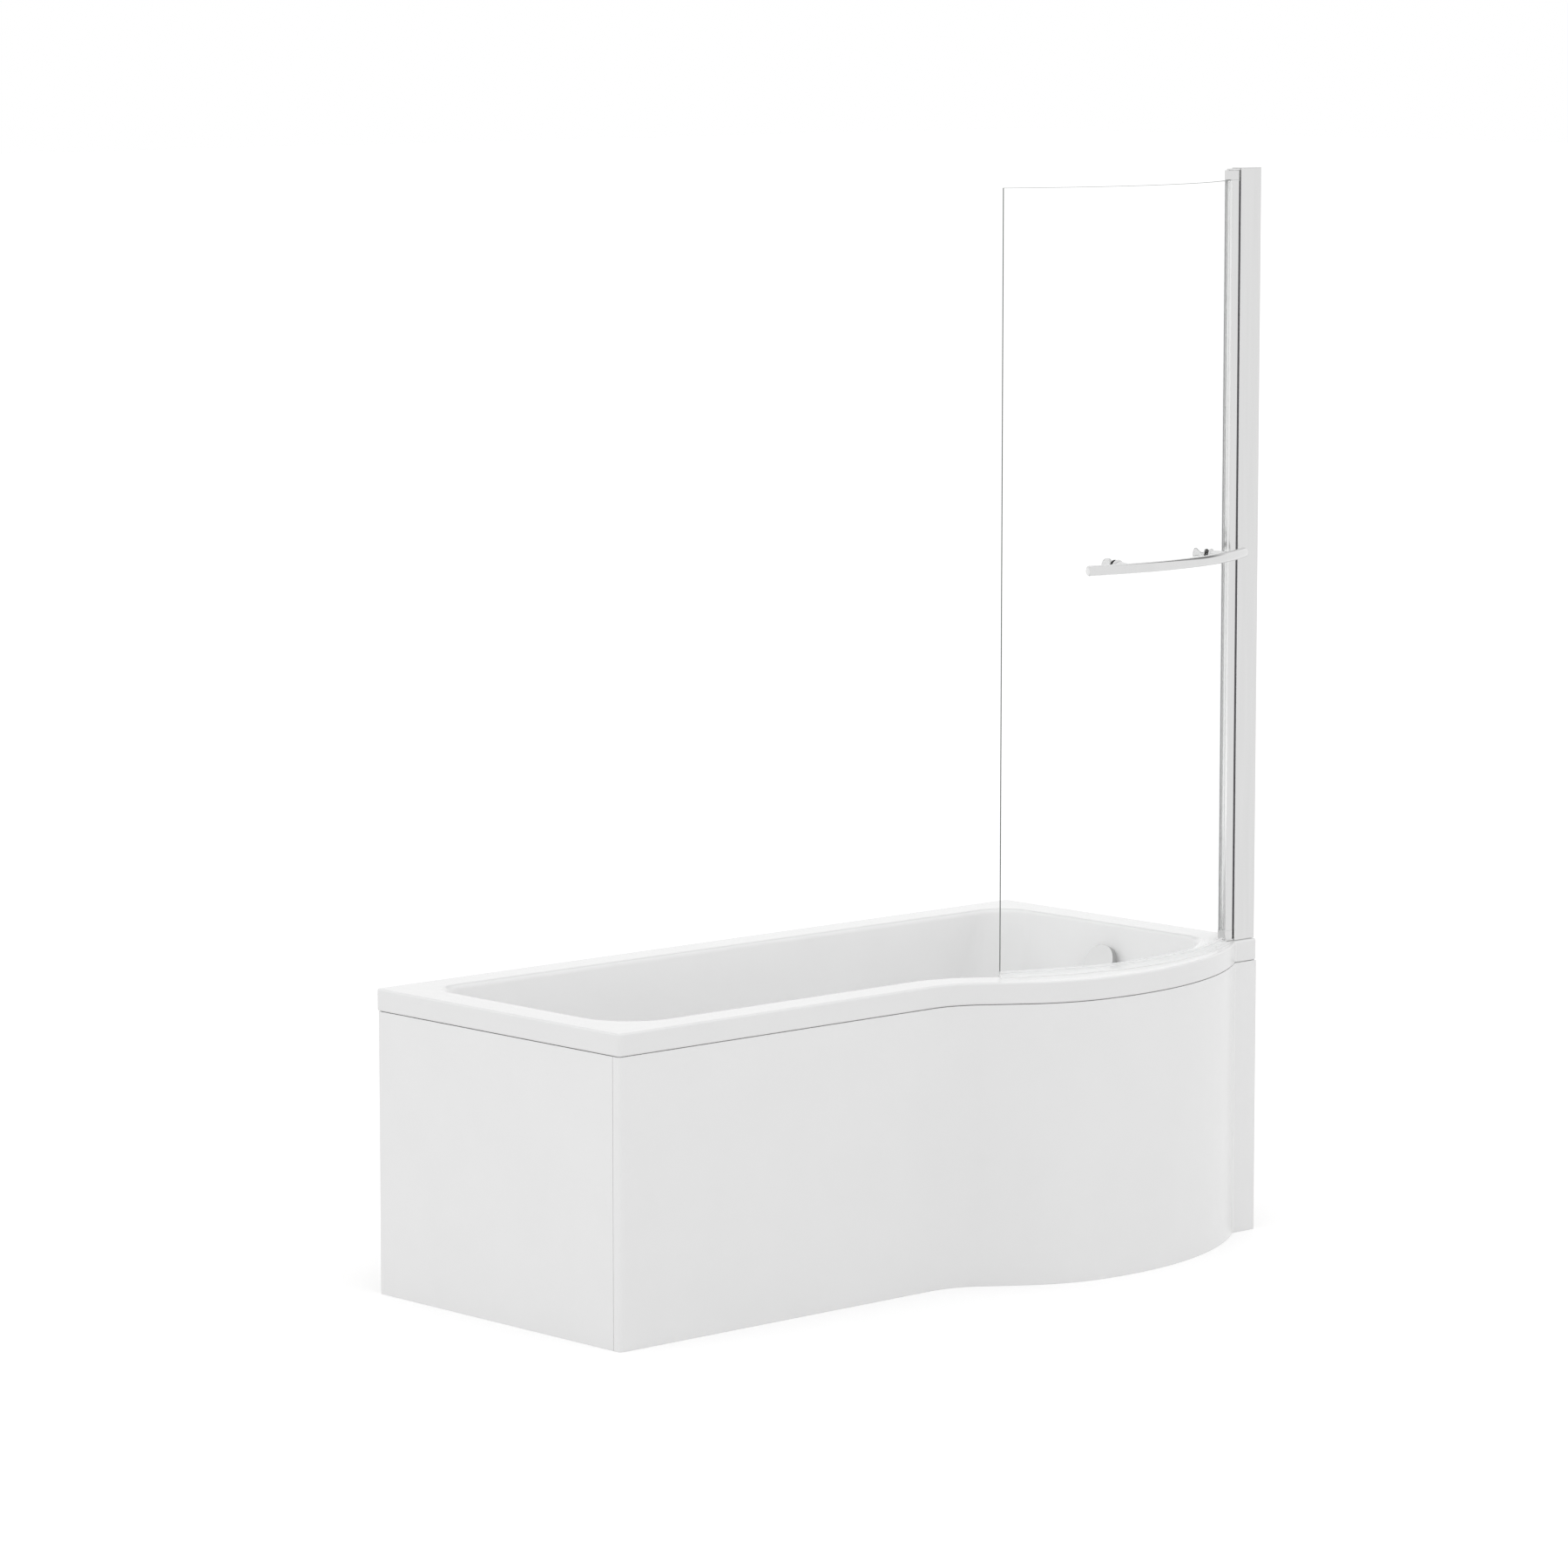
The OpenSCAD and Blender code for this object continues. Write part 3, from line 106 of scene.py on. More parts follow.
def arc(centre: Point2, radius: float, start: float, end: float, steps: int,
        first: int = 0) -> list[Point2]:
    """Samples an arc in plan, where angle 0 points to the open front and 90 to the tap end.

    Args:
        centre: Middle of the arc.
        radius: Its radius.
        start: Angle of the first point, in degrees.
        end: Angle of the last point, in degrees.
        steps: Number of equal steps.
        first: Index of the first point that is kept.

    Returns:
        The points of the arc.
    """
    points = []
    for i in range(first, steps + 1):
        a = math.radians(start + (end - start) * i / steps)
        points.append((centre[0] + radius * math.sin(a), centre[1] - radius * math.cos(a)))
    return points


def rounded(corners: Sequence[Point3], closed: bool = False, steps: int = 6) -> list[Point2]:
    """Rounds the corners of a path.

    Args:
        corners: Corners as (x, y, radius), where radius 0 keeps a corner sharp.
        closed: Whether the path runs back to its first corner.
        steps: Number of steps round each corner.

    Returns:
        The points of the rounded path.
    """
    out: list[Point2] = []
    count = len(corners)
    for i, (x, y, radius) in enumerate(corners):
        if radius <= 0 or (not closed and i in (0, count - 1)):
            out.append((x, y))
            continue
        corner = Vector((x, y))
        before = (Vector(corners[i - 1][:2]) - corner).normalized()
        after = (Vector(corners[(i + 1) % count][:2]) - corner).normalized()
        half = before.angle(after) / 2
        middle = corner + (before + after).normalized() * (radius / math.sin(half))
        cut = radius / math.tan(half)
        spoke = corner + before * cut - middle
        last = corner + after * cut - middle
        a0 = math.atan2(spoke.y, spoke.x)
        turn = (math.atan2(last.y, last.x) - a0 + math.pi) % (2 * math.pi) - math.pi
        for k in range(steps + 1):
            a = a0 + turn * k / steps
            out.append((middle.x + radius * math.cos(a), middle.y + radius * math.sin(a)))
    return out


def flat_ring(points: Sequence[Point2], z: float) -> Ring:
    """Returns plan points as a ring at one height."""
    return [(x, y, z) for x, y in points]


def turned_rings(profile: Sequence[Point2], origin: Point3, axis: Point3,
                 steps: int = 96) -> list[Ring]:
    """Turns a profile round an axis.

    Args:
        profile: Points as (radius, height along the axis).
        origin: Point of the axis at height 0.
        axis: Direction of the axis.
        steps: Number of points round.

    Returns:
        One ring for each point of the profile.
    """
    along = Vector(axis).normalized()
    side = along.orthogonal().normalized()
    other = along.cross(side)
    rings = []
    for radius, height in profile:
        ring = []
        for i in range(steps):
            a = 2 * math.pi * i / steps
            spot = Vector(origin) + along * height
            spot += (side * math.cos(a) + other * math.sin(a)) * radius
            ring.append(tuple(spot))
        rings.append(ring)
    return rings


@dataclass
class Shape:
    """Points and faces of one piece, in bath millimetres."""

    points: list[Point3] = field(default_factory=list)
    faces: list[tuple[int, ...]] = field(default_factory=list)

    def loft(self, rings: Sequence[Ring], caps: bool = True, joined: bool = False) -> "Shape":
        """Adds a skin through rings of the same number of points.

        Args:
            rings: The rings, from first to last.
            caps: Whether the first and last rings are filled.
            joined: Whether the last ring is joined to the first.

        Returns:
            This shape.
        """
        base, count, total = len(self.points), len(rings[0]), len(rings)
        for ring in rings:
            self.points.extend(ring)
        for k in range(total if joined else total - 1):
            lower, upper = base + k * count, base + (k + 1) % total * count
            for i in range(count):
                j = (i + 1) % count
                self.faces.append((lower + i, lower + j, upper + j, upper + i))
        if caps and not joined:
            self.faces.append(tuple(base + i for i in reversed(range(count))))
            self.faces.append(tuple(base + (total - 1) * count + i for i in range(count)))
        return self

    def prism(self, outline: Sequence[Point2], low: float, high: float) -> "Shape":
        """Adds an upright prism over a plan outline and returns this shape."""
        return self.loft([flat_ring(outline, low), flat_ring(outline, high)])

    def turned(self, profile: Sequence[Point2], origin: Point3, axis: Point3 = (0, 0, 1),
               steps: int = 96, joined: bool = False) -> "Shape":
        """Adds a turned solid and returns this shape.

        Args:
            profile: Points as (radius, height along the axis).
            origin: Point of the axis at height 0.
            axis: Direction of the axis.
            steps: Number of points round.
            joined: Whether the profile is a closed section, as of a ring.

        Returns:
            This shape.
        """
        return self.loft(turned_rings(profile, origin, axis, steps), not joined, joined)

    def make(self, name: str, bevel: float = 0.0, sharp: float = 32.0,
             segments: int = 3) -> bpy.types.Object:
        """Makes the Blender object with smooth faces and crisp or softened edges.

        Args:
            name: Name of the piece.
            bevel: Width of the softened edges in millimetres, or 0 to keep them crisp.
            sharp: Angle in degrees above which two faces meet in an edge.
            segments: Number of steps across a softened edge.

        Returns:
            The new object.
        """
        mesh = bpy.data.meshes.new(name)
        mesh.from_pydata([place(p) for p in self.points], [], self.faces)
        work = bmesh.new()
        work.from_mesh(mesh)
        bmesh.ops.remove_doubles(work, verts=work.verts, dist=MERGE_DISTANCE)
        bmesh.ops.dissolve_degenerate(work, edges=work.edges, dist=MERGE_DISTANCE)
        bmesh.ops.recalc_face_normals(work, faces=work.faces)
        work.to_mesh(mesh)
        work.free()
        for polygon in mesh.polygons:
            polygon.use_smooth = True
        piece = bpy.data.objects.new(name, mesh)
        bpy.context.scene.collection.objects.link(piece)
        if bevel:
            soft = piece.modifiers.new("soft_edges", "BEVEL")
            soft.width = bevel * MM
            soft.segments = segments
            soft.limit_method = "ANGLE"
            soft.angle_limit = math.radians(sharp)
        else:
            mesh.set_sharp_from_angle(angle=math.radians(sharp))
        even = piece.modifiers.new("even_shading", "WEIGHTED_NORMAL")
        even.keep_sharp = not bevel
        return piece


def hand_over(piece: bpy.types.Object, finish: "Finish", body: Body, slot: Slot,
              *nodes: str) -> bpy.types.Object:
    """Dresses a piece, puts it on its body and lets it stand for its CAD nodes.

    Args:
        piece: The piece, in place.
        finish: Its finish.
        body: The body that it rides on.
        slot: Slot of its finish; not used.
        nodes: The CAD nodes that it stands for.

    Returns:
        The piece.
    """
    piece.data.materials.append(finish.material())
    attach(piece, body.value)
    if nodes:
        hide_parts(*nodes)
    LOG.info("%s rides on %s, for %s", piece.name, body.value, ", ".join(nodes) or "itself")
    return piece


# ---- Finishes ------------------------------------------------------------------------------

# Sockets of a Mix node for numbers and for colours, which only their place tells apart
NUMBER_INPUTS = (2, 3)
COLOUR_INPUTS = (6, 7)
COLOUR_OUTPUT = 2
WEAR_GRAIN = 2.3
RELIEF_HEIGHT = 0.0006


class Wiring:
    """Node tree with short ways to add and join its nodes."""

    def __init__(self, tree: bpy.types.NodeTree) -> None:
        """Takes over a tree and empties it.

        Args:
            tree: The node tree.
        """
        self.tree = tree
        tree.nodes.clear()

    def link(self, source: bpy.types.NodeSocket, target: bpy.types.NodeSocket) -> None:
        """Joins two sockets."""
        self.tree.links.new(source, target)

    def add(self, kind: str, **values: float) -> bpy.types.Node:
        """Adds a node and sets its sockets by name.

        Args:
            kind: Class name of the node.
            values: Socket names, with _ for a space, and their values.

        Returns:
            The node.
        """
        node = self.tree.nodes.new(kind)
        for key, value in values.items():
            node.inputs[key.replace("_", " ")].default_value = value
        return node

    def span(self, value: bpy.types.NodeSocket, low: float, high: float,
             start: float = 0.3, end: float = 0.7) -> bpy.types.NodeSocket:
        """Moves a value from one range to another, and keeps it in that range.

        Args:
            value: The value.
            low: Result at the start.
            high: Result at the end.
            start: Value that gives the low result.
            end: Value that gives the high result.

        Returns:
            The moved value.
        """
        node = self.add("ShaderNodeMapRange", From_Min=start, From_Max=end, To_Min=low,
                        To_Max=high)
        self.link(value, node.inputs["Value"])
        return node.outputs[0]

    def work(self, operation: str, first: bpy.types.NodeSocket,
             second: bpy.types.NodeSocket) -> bpy.types.NodeSocket:
        """Adds an operation on two values.

        Args:
            operation: Name of the operation.
            first: First value.
            second: Second value.

        Returns:
            The operation's result.
        """
        node = self.tree.nodes.new("ShaderNodeMath")
        node.operation = operation
        self.link(first, node.inputs[0])
        self.link(second, node.inputs[1])
        return node.outputs[0]

    def blend(self, value: bpy.types.NodeSocket, first: bpy.types.NodeSocket,
              second: bpy.types.NodeSocket) -> bpy.types.NodeSocket:
        """Blends two numbers.

        Args:
            value: Share of the second number, from 0 to 1.
            first: The number at 0.
            second: The number at 1.

        Returns:
            The blended number.
        """
        node = self.tree.nodes.new("ShaderNodeMix")
        for source, index in zip((value, first, second), (0, *NUMBER_INPUTS)):
            self.link(source, node.inputs[index])
        return node.outputs[0]

    def number(self, value: float) -> bpy.types.NodeSocket:
        """Returns a constant."""
        node = self.tree.nodes.new("ShaderNodeValue")
        node.outputs[0].default_value = value
        return node.outputs[0]

    def seen_directly(self) -> bpy.types.NodeSocket:
        """Returns 1 where a surface is seen by the camera or through glass, otherwise 0."""
        rays = self.add("ShaderNodeLightPath")
        return self.work("MAXIMUM", rays.outputs["Is Camera Ray"],
                         rays.outputs["Is Transmission Ray"])

    def mirrored(self) -> bpy.types.NodeSocket:
        """Returns 1 where a surface is seen in a reflection, otherwise 0."""
        rays = self.add("ShaderNodeLightPath")
        return self.work("GREATER_THAN", rays.outputs["Is Glossy Ray"], self.seen_directly())


class Graph(Wiring):
    """Node graph of one material, with short ways to add its usual nodes."""

    def __init__(self, name: str) -> None:
        """Starts a material with one glossy surface shader.

        Args:
            name: Name of the material.
        """
        self.material = bpy.data.materials.new(name)
        self.material.use_nodes = True
        super().__init__(self.material.node_tree)
        self.output = self.tree.nodes.new("ShaderNodeOutputMaterial")
        self.surface = self.tree.nodes.new("ShaderNodeBsdfPrincipled")
        self.link(self.surface.outputs[0], self.output.inputs["Surface"])

    def spot(self, stretch: Point3 = (1.0, 1.0, 1.0)) -> bpy.types.NodeSocket:
        """Returns the place on the piece in metres, stretched along the three directions.

        Args:
            stretch: Stretch along the three directions.

        Returns:
            The place.
        """
        coordinates = self.add("ShaderNodeTexCoord")
        mapping = self.add("ShaderNodeMapping")
        mapping.inputs["Scale"].default_value = stretch
        self.link(coordinates.outputs["Object"], mapping.inputs["Vector"])
        return mapping.outputs[0]

    def noise(self, scale: float, detail: float = 3.0,
              stretch: Point3 = (1.0, 1.0, 1.0)) -> bpy.types.NodeSocket:
        """Returns a soft noise from 0 to 1.

        Args:
            scale: Grains per metre.
            detail: Number of finer layers.
            stretch: Stretch of the place along the three directions.

        Returns:
            The noise's value.
        """
        node = self.add("ShaderNodeTexNoise", Scale=scale, Detail=detail)
        self.link(self.spot(stretch), node.inputs["Vector"])
        return node.outputs["Fac"]

    def cells(self, scale: float, stretch: Point3 = (1.0, 1.0, 1.0)) -> bpy.types.NodeSocket:
        """Gives each cell of a crazed surface its own value.

        Args:
            scale: Cells per metre.
            stretch: Stretch of the place along the three directions.

        Returns:
            The cells' value.
        """
        node = self.add("ShaderNodeTexVoronoi", Scale=scale)
        self.link(self.spot(stretch), node.inputs["Vector"])
        return node.outputs["Color"]

    def mix(self, value: bpy.types.NodeSocket, first: Colour,
            second: Colour) -> bpy.types.NodeSocket:
        """Blends two colours.

        Args:
            value: A noise, whose middle range blends them.
            first: Colour at the low end.
            second: Colour at the high end.

        Returns:
            The blended colour.
        """
        node = self.tree.nodes.new("ShaderNodeMix")
        node.data_type = "RGBA"
        for index, colour in zip(COLOUR_INPUTS, (first, second)):
            node.inputs[index].default_value = (*colour, 1.0)
        self.link(self.span(value, 0.0, 1.0), node.inputs[0])
        return node.outputs[COLOUR_OUTPUT]

    def bump(self, value: bpy.types.NodeSocket, strength: float, height: float) -> None:
        """Raises the surface by a value.

        Args:
            value: The height from 0 to 1.
            strength: How strongly it shows.
            height: Height of 1 in metres.
        """
        node = self.add("ShaderNodeBump", Strength=strength, Distance=height)
        self.link(value, node.inputs["Height"])
        self.link(node.outputs[0], self.surface.inputs["Normal"])

    def either(self, value: bpy.types.NodeSocket, first: bpy.types.NodeSocket,
               second: bpy.types.NodeSocket) -> None:
        """Shows the first shader where a value is 0, and the second where it is 1.

        Args:
            value: The value.
            first: The first shader.
            second: The second shader.
        """
        both = self.add("ShaderNodeMixShader")
        for source, target in zip((value, first, second), both.inputs):
            self.link(source, target)
        self.link(both.outputs[0], self.output.inputs["Surface"])

    def set(self, socket: str, value: float) -> None:
        """Sets one of the surface shader's own values."""
        self.surface.inputs[socket].default_value = value

    def feed(self, socket: str, source: bpy.types.NodeSocket) -> None:
        """Drives one of the surface shader's values."""
        self.link(source, self.surface.inputs[socket])


@dataclass(frozen=True)
class Finish:
    """A finish of two close colours, a range of roughness and a fine texture."""

    name: str
    colour: Colour
    second: Colour
    rough_low: float
    rough_high: float
    grain: float = 40.0
    stretch: Point3 = (1.0, 1.0, 1.0)
    metal: float = 0.0
    shine: float = 0.5
    coat: float = 0.0
    relief: float = 0.0
    relief_grain: float = 120.0

    def material(self) -> bpy.types.Material:
        """Makes the finish's material on its first use.

        Returns:
            The material.
        """
        found = bpy.data.materials.get(self.name)
        if found:
            return found
        graph = Graph(self.name)
        self.paint(graph)
        return graph.material

    def paint(self, graph: Graph) -> None:
        """Sets up the material.

        Args:
            graph: The material's node graph.
        """
        shade = graph.noise(self.grain, stretch=self.stretch)
        graph.feed("Base Color", graph.mix(shade, self.colour, self.second))
        wear = graph.noise(self.grain * WEAR_GRAIN, detail=4.0, stretch=self.stretch)
        graph.feed("Roughness", graph.span(wear, self.rough_low, self.rough_high))
        graph.set("Metallic", self.metal)
        graph.set("Specular IOR Level", self.shine)
        graph.set("Coat Weight", self.coat)
        if self.relief:
            height = graph.noise(self.relief_grain, stretch=self.stretch)
            graph.bump(height, self.relief, RELIEF_HEIGHT)


@dataclass(frozen=True)
class GlassFinish(Finish):
    """Thin clear glass or plastic, which lets lamps through to what is behind it."""

    index: float = 1.0
    clearness: float = 1.0

    def paint(self, graph: Graph) -> None:
        """Sets up the material.

        Args:
            graph: The material's node graph.
        """
        super().paint(graph)
        graph.set("Transmission Weight", self.clearness)
        graph.set("IOR", self.index)
        through = graph.add("ShaderNodeBsdfTransparent")
        through.inputs["Color"].default_value = (*self.colour, 1.0)
        lamp = graph.add("ShaderNodeLightPath")
        graph.either(lamp.outputs["Is Shadow Ray"], graph.surface.outputs[0], through.outputs[0])


@dataclass(frozen=True)
class FleckedFinish(Finish):
    """A finish of flecks or spangles, as chipboard and zinc have."""

    cell: float = 300.0

    def paint(self, graph: Graph) -> None:
        """Sets up the material.

        Args:
            graph: The material's node graph.
        """
        super().paint(graph)
        flecks = graph.cells(self.cell, self.stretch)
        graph.feed("Base Color", graph.mix(flecks, self.colour, self.second))


@dataclass(frozen=True)
class WoodFinish(Finish):
    """Sawn softwood with growth rings that run along the batten."""

    rings: float = 60.0
    waviness: float = 6.0
    along: float = 0.06

    def paint(self, graph: Graph) -> None:
        """Sets up the material.

        Args:
            graph: The material's node graph.
        """
        super().paint(graph)
        wave = graph.add("ShaderNodeTexWave", Scale=self.rings, Distortion=self.waviness,
                         Detail=2.0)
        wave.bands_direction = "Y"
        graph.link(graph.spot((self.along, 1.0, 1.0)), wave.inputs["Vector"])
        graph.feed("Base Color", graph.mix(wave.outputs["Fac"], self.colour, self.second))


WHITE_ACRYLIC = Finish("white_acrylic", (0.855, 0.855, 0.855), (0.868, 0.868, 0.868), 0.16, 0.22,
                       grain=7.0, coat=0.25, relief=0.015, relief_grain=45.0)
PANEL_ACRYLIC = Finish("panel_acrylic", (0.88, 0.88, 0.88), (0.892, 0.892, 0.892), 0.2, 0.27,
                       grain=9.0, coat=0.2, relief=0.02, relief_grain=60.0)
CHROME = Finish("polished_chrome", (0.735, 0.735, 0.735), (0.755, 0.755, 0.755), 0.05, 0.09,
                grain=25.0, metal=1.0)
BRIGHT_PROFILE = Finish("bright_profile", (0.735, 0.735, 0.735), (0.755, 0.755, 0.755), 0.08, 0.13,
                        grain=90.0, stretch=(1.0, 1.0, 0.04), metal=1.0)
SATIN_POST = Finish("satin_post", (0.42, 0.42, 0.43), (0.47, 0.47, 0.48), 0.28, 0.4,
                    grain=120.0, stretch=(1.0, 1.0, 0.03), metal=1.0)
BLACK_RUBBER = Finish("black_rubber", (0.018, 0.018, 0.018), (0.03, 0.03, 0.03), 0.5, 0.65,
                      grain=90.0, relief=0.08, relief_grain=900.0)
BLACK_PLASTIC = Finish("black_plastic", (0.02, 0.02, 0.021), (0.032, 0.032, 0.033), 0.38, 0.5,
                       grain=50.0, relief=0.05, relief_grain=700.0)
WHITE_PLASTIC = Finish("white_pipe_plastic", (0.72, 0.72, 0.7), (0.76, 0.76, 0.74), 0.35, 0.45,
                       grain=20.0, relief=0.03, relief_grain=300.0)
WHITE_NYLON = Finish("white_nylon", (0.7, 0.7, 0.67), (0.74, 0.74, 0.71), 0.4, 0.5, grain=60.0)
ZINC_SHEET = FleckedFinish("zinc_sheet", (0.5, 0.51, 0.52), (0.62, 0.63, 0.64), 0.3, 0.45,
                           grain=60.0, metal=1.0, cell=110.0)
ZINC_FIXINGS = Finish("zinc_fixings", (0.55, 0.56, 0.57), (0.64, 0.64, 0.66), 0.25, 0.38,
                      grain=200.0, metal=1.0)
CHIPBOARD = FleckedFinish("chipboard", (0.42, 0.29, 0.17), (0.62, 0.47, 0.3), 0.7, 0.85,
                          grain=220.0, relief=0.3, relief_grain=500.0, cell=320.0)
SOFTWOOD = WoodFinish("sawn_softwood", (0.5, 0.34, 0.19), (0.68, 0.5, 0.31), 0.6, 0.75,
                      grain=120.0, stretch=(0.1, 1.0, 1.0), relief=0.25, relief_grain=400.0)
CLEAR_GLASS = GlassFinish("clear_glass", (0.994, 0.998, 0.997), (0.997, 0.999, 0.998), 0.0, 0.004,
                          grain=3.0, coat=0.35)
# Painted shade: opaque greys for the glass's edges, dark on the free end and lighter on the top,
# which faces up
EDGE_PAINTED_SHADE = Finish("glass_edge_painted_shade", (0.14, 0.15, 0.147), (0.165, 0.175, 0.172), 0.55, 0.7,
                    grain=30.0, shine=0.0)
TOP_EDGE_PAINTED_SHADE = Finish("glass_top_painted_shade", (0.35, 0.36, 0.357), (0.38, 0.39, 0.387), 0.3, 0.4,
                   grain=30.0, shine=0.0)
# Painted shade: darker metal for the swinging profile's back corner, standing in for the dark
# reflection along it
PAINTED_BACK_SHADE = Finish("back_painted_shade", (0.24, 0.24, 0.245), (0.28, 0.28, 0.285), 0.3, 0.4,
                    grain=60.0, stretch=(1.0, 1.0, 0.05), metal=1.0)
CLEAR_STRIP = GlassFinish("clear_strip_plastic", (0.955, 0.957, 0.957), (0.965, 0.967, 0.967),
                          0.1, 0.16, grain=25.0, coat=0.3, clearness=0.6)
# Painted shade: the overflow dial's chrome made darker on its side, standing in for the shaded
# wall reflected there
PAINTED_DIAL_SHADE = Finish("dial_side_painted_shade", (0.42, 0.42, 0.42), (0.45, 0.45, 0.45), 0.12, 0.18,
                   grain=40.0, metal=1.0)


# ---- Bath ----------------------------------------------------------------------------------

TAP_WALL_LEAN = 23.0
WASTE_SPOT: Point2 = (1300.0, 306.0)
OVERFLOW_SPOT: Point3 = (1565.0994, 306.0, 508.0)
OVERFLOW_AXIS: Point3 = (-math.cos(math.radians(TAP_WALL_LEAN)), 0.0,
                         math.sin(math.radians(TAP_WALL_LEAN)))


@dataclass(frozen=True)
class PlanOutline:
    """Outline of the bath in plan, with its S curve, long curve and crease."""

    length: float = 1675.0
    width: float = 700.0
    bulge: float = 149.0
    apex_from_tap: float = 475.0
    main_radius: float = 680.0
    shoulder_radius: float = 330.0
    shoulder_angle: float = 8.0
    slope_angle: float = 35.5
    reverse_radius: float = 160.0
    tap_return: float = 10.0
    crease_radius: float = 16.0
    corner: float = 9.0
    least_corner: float = 0.8
    corner_steps: int = 32
    hollow_steps: int = 28
    shoulder_steps: int = 24
    main_steps: int = 64
    crease_steps: int = 12
    tap_steps: int = 27

    @property
    def main_centre(self) -> Point2:
        """Middle of the long curve."""
        return self.length - self.apex_from_tap, self.main_radius - self.bulge

    @property
    def shoulder_centre(self) -> Point2:
        """Middle of the curve before the long curve.

        Returns:
            Its point in plan.
        """
        reach = self.main_radius - self.shoulder_radius
        a = math.radians(self.shoulder_angle)
        return (self.main_centre[0] - reach * math.sin(a),
                self.main_centre[1] - reach * math.cos(a))

    @property
    def reverse_centre(self) -> Point2:
        """Middle of the hollow start of the S curve.

        Returns:
            Its point in plan.
        """
        a = math.radians(self.slope_angle)
        end_x = self.shoulder_centre[0] - self.shoulder_radius * math.sin(a)
        end_y = self.shoulder_centre[1] - self.shoulder_radius * math.cos(a)
        drop = self.reverse_radius * (1 - math.cos(a))
        run = (-drop - end_y) / math.tan(a)
        return end_x - run - self.reverse_radius * math.sin(a), -self.reverse_radius

    @property
    def crease_centre(self) -> Point2:
        """Middle of the soft crease at the tap end.

        Returns:
            Its point in plan.
        """
        reach = self.main_radius + self.crease_radius
        rise = self.main_centre[1] + self.tap_return + self.crease_radius
        return (self.main_centre[0] + math.sqrt(reach ** 2 - rise ** 2),
                -self.tap_return - self.crease_radius)

    def s_curve(self, inset: float) -> list[Point2]:
        """Draws the S curve of the front.

        Args:
            inset: Distance inside the lip.

        Returns:
            The curve's points, from the foot end.
        """
        return (arc(self.reverse_centre, self.reverse_radius + inset, 180,
                    180 - self.slope_angle, self.hollow_steps)
                + arc(self.shoulder_centre, self.shoulder_radius - inset, -self.slope_angle,
                      -self.shoulder_angle, self.shoulder_steps))

    def front(self, inset: float) -> list[Point2]:
        """Draws the front, from the S curve to the crease.

        Args:
            inset: Distance inside the lip.

        Returns:
            The front's points, from the foot end.
        """
        centre, crease = self.main_centre, self.crease_centre
        turn = math.degrees(math.atan2(crease[0] - centre[0], centre[1] - crease[1]))
        return (self.s_curve(inset)
                + arc(centre, self.main_radius - inset, -self.shoulder_angle, turn,
                      self.main_steps, 1)
                + arc(crease, self.crease_radius + inset, 180 + turn, 180, self.crease_steps, 1))

    def corner_radius(self, inset: float) -> float:
        """Returns the radius of the outer corners at a distance inside the lip."""
        return max(self.corner - inset, self.least_corner)

    def lip(self, inset: float) -> list[Point2]:
        """Draws the closed outline of the bath.

        Args:
            inset: Distance inside the lip.

        Returns:
            The outline's points.
        """
        r = self.corner_radius(inset)
        right, back, front = self.length - inset, self.width - inset, inset - self.tap_return
        return (arc((inset + r, inset + r), r, -90, 0, self.corner_steps)
                + self.front(inset)
                + arc((right - r, front + r), r, 0, 90, self.tap_steps)
                + arc((right - r, back - r), r, 90, 180, self.corner_steps)
                + arc((inset + r, back - r), r, 180, 270, self.corner_steps))


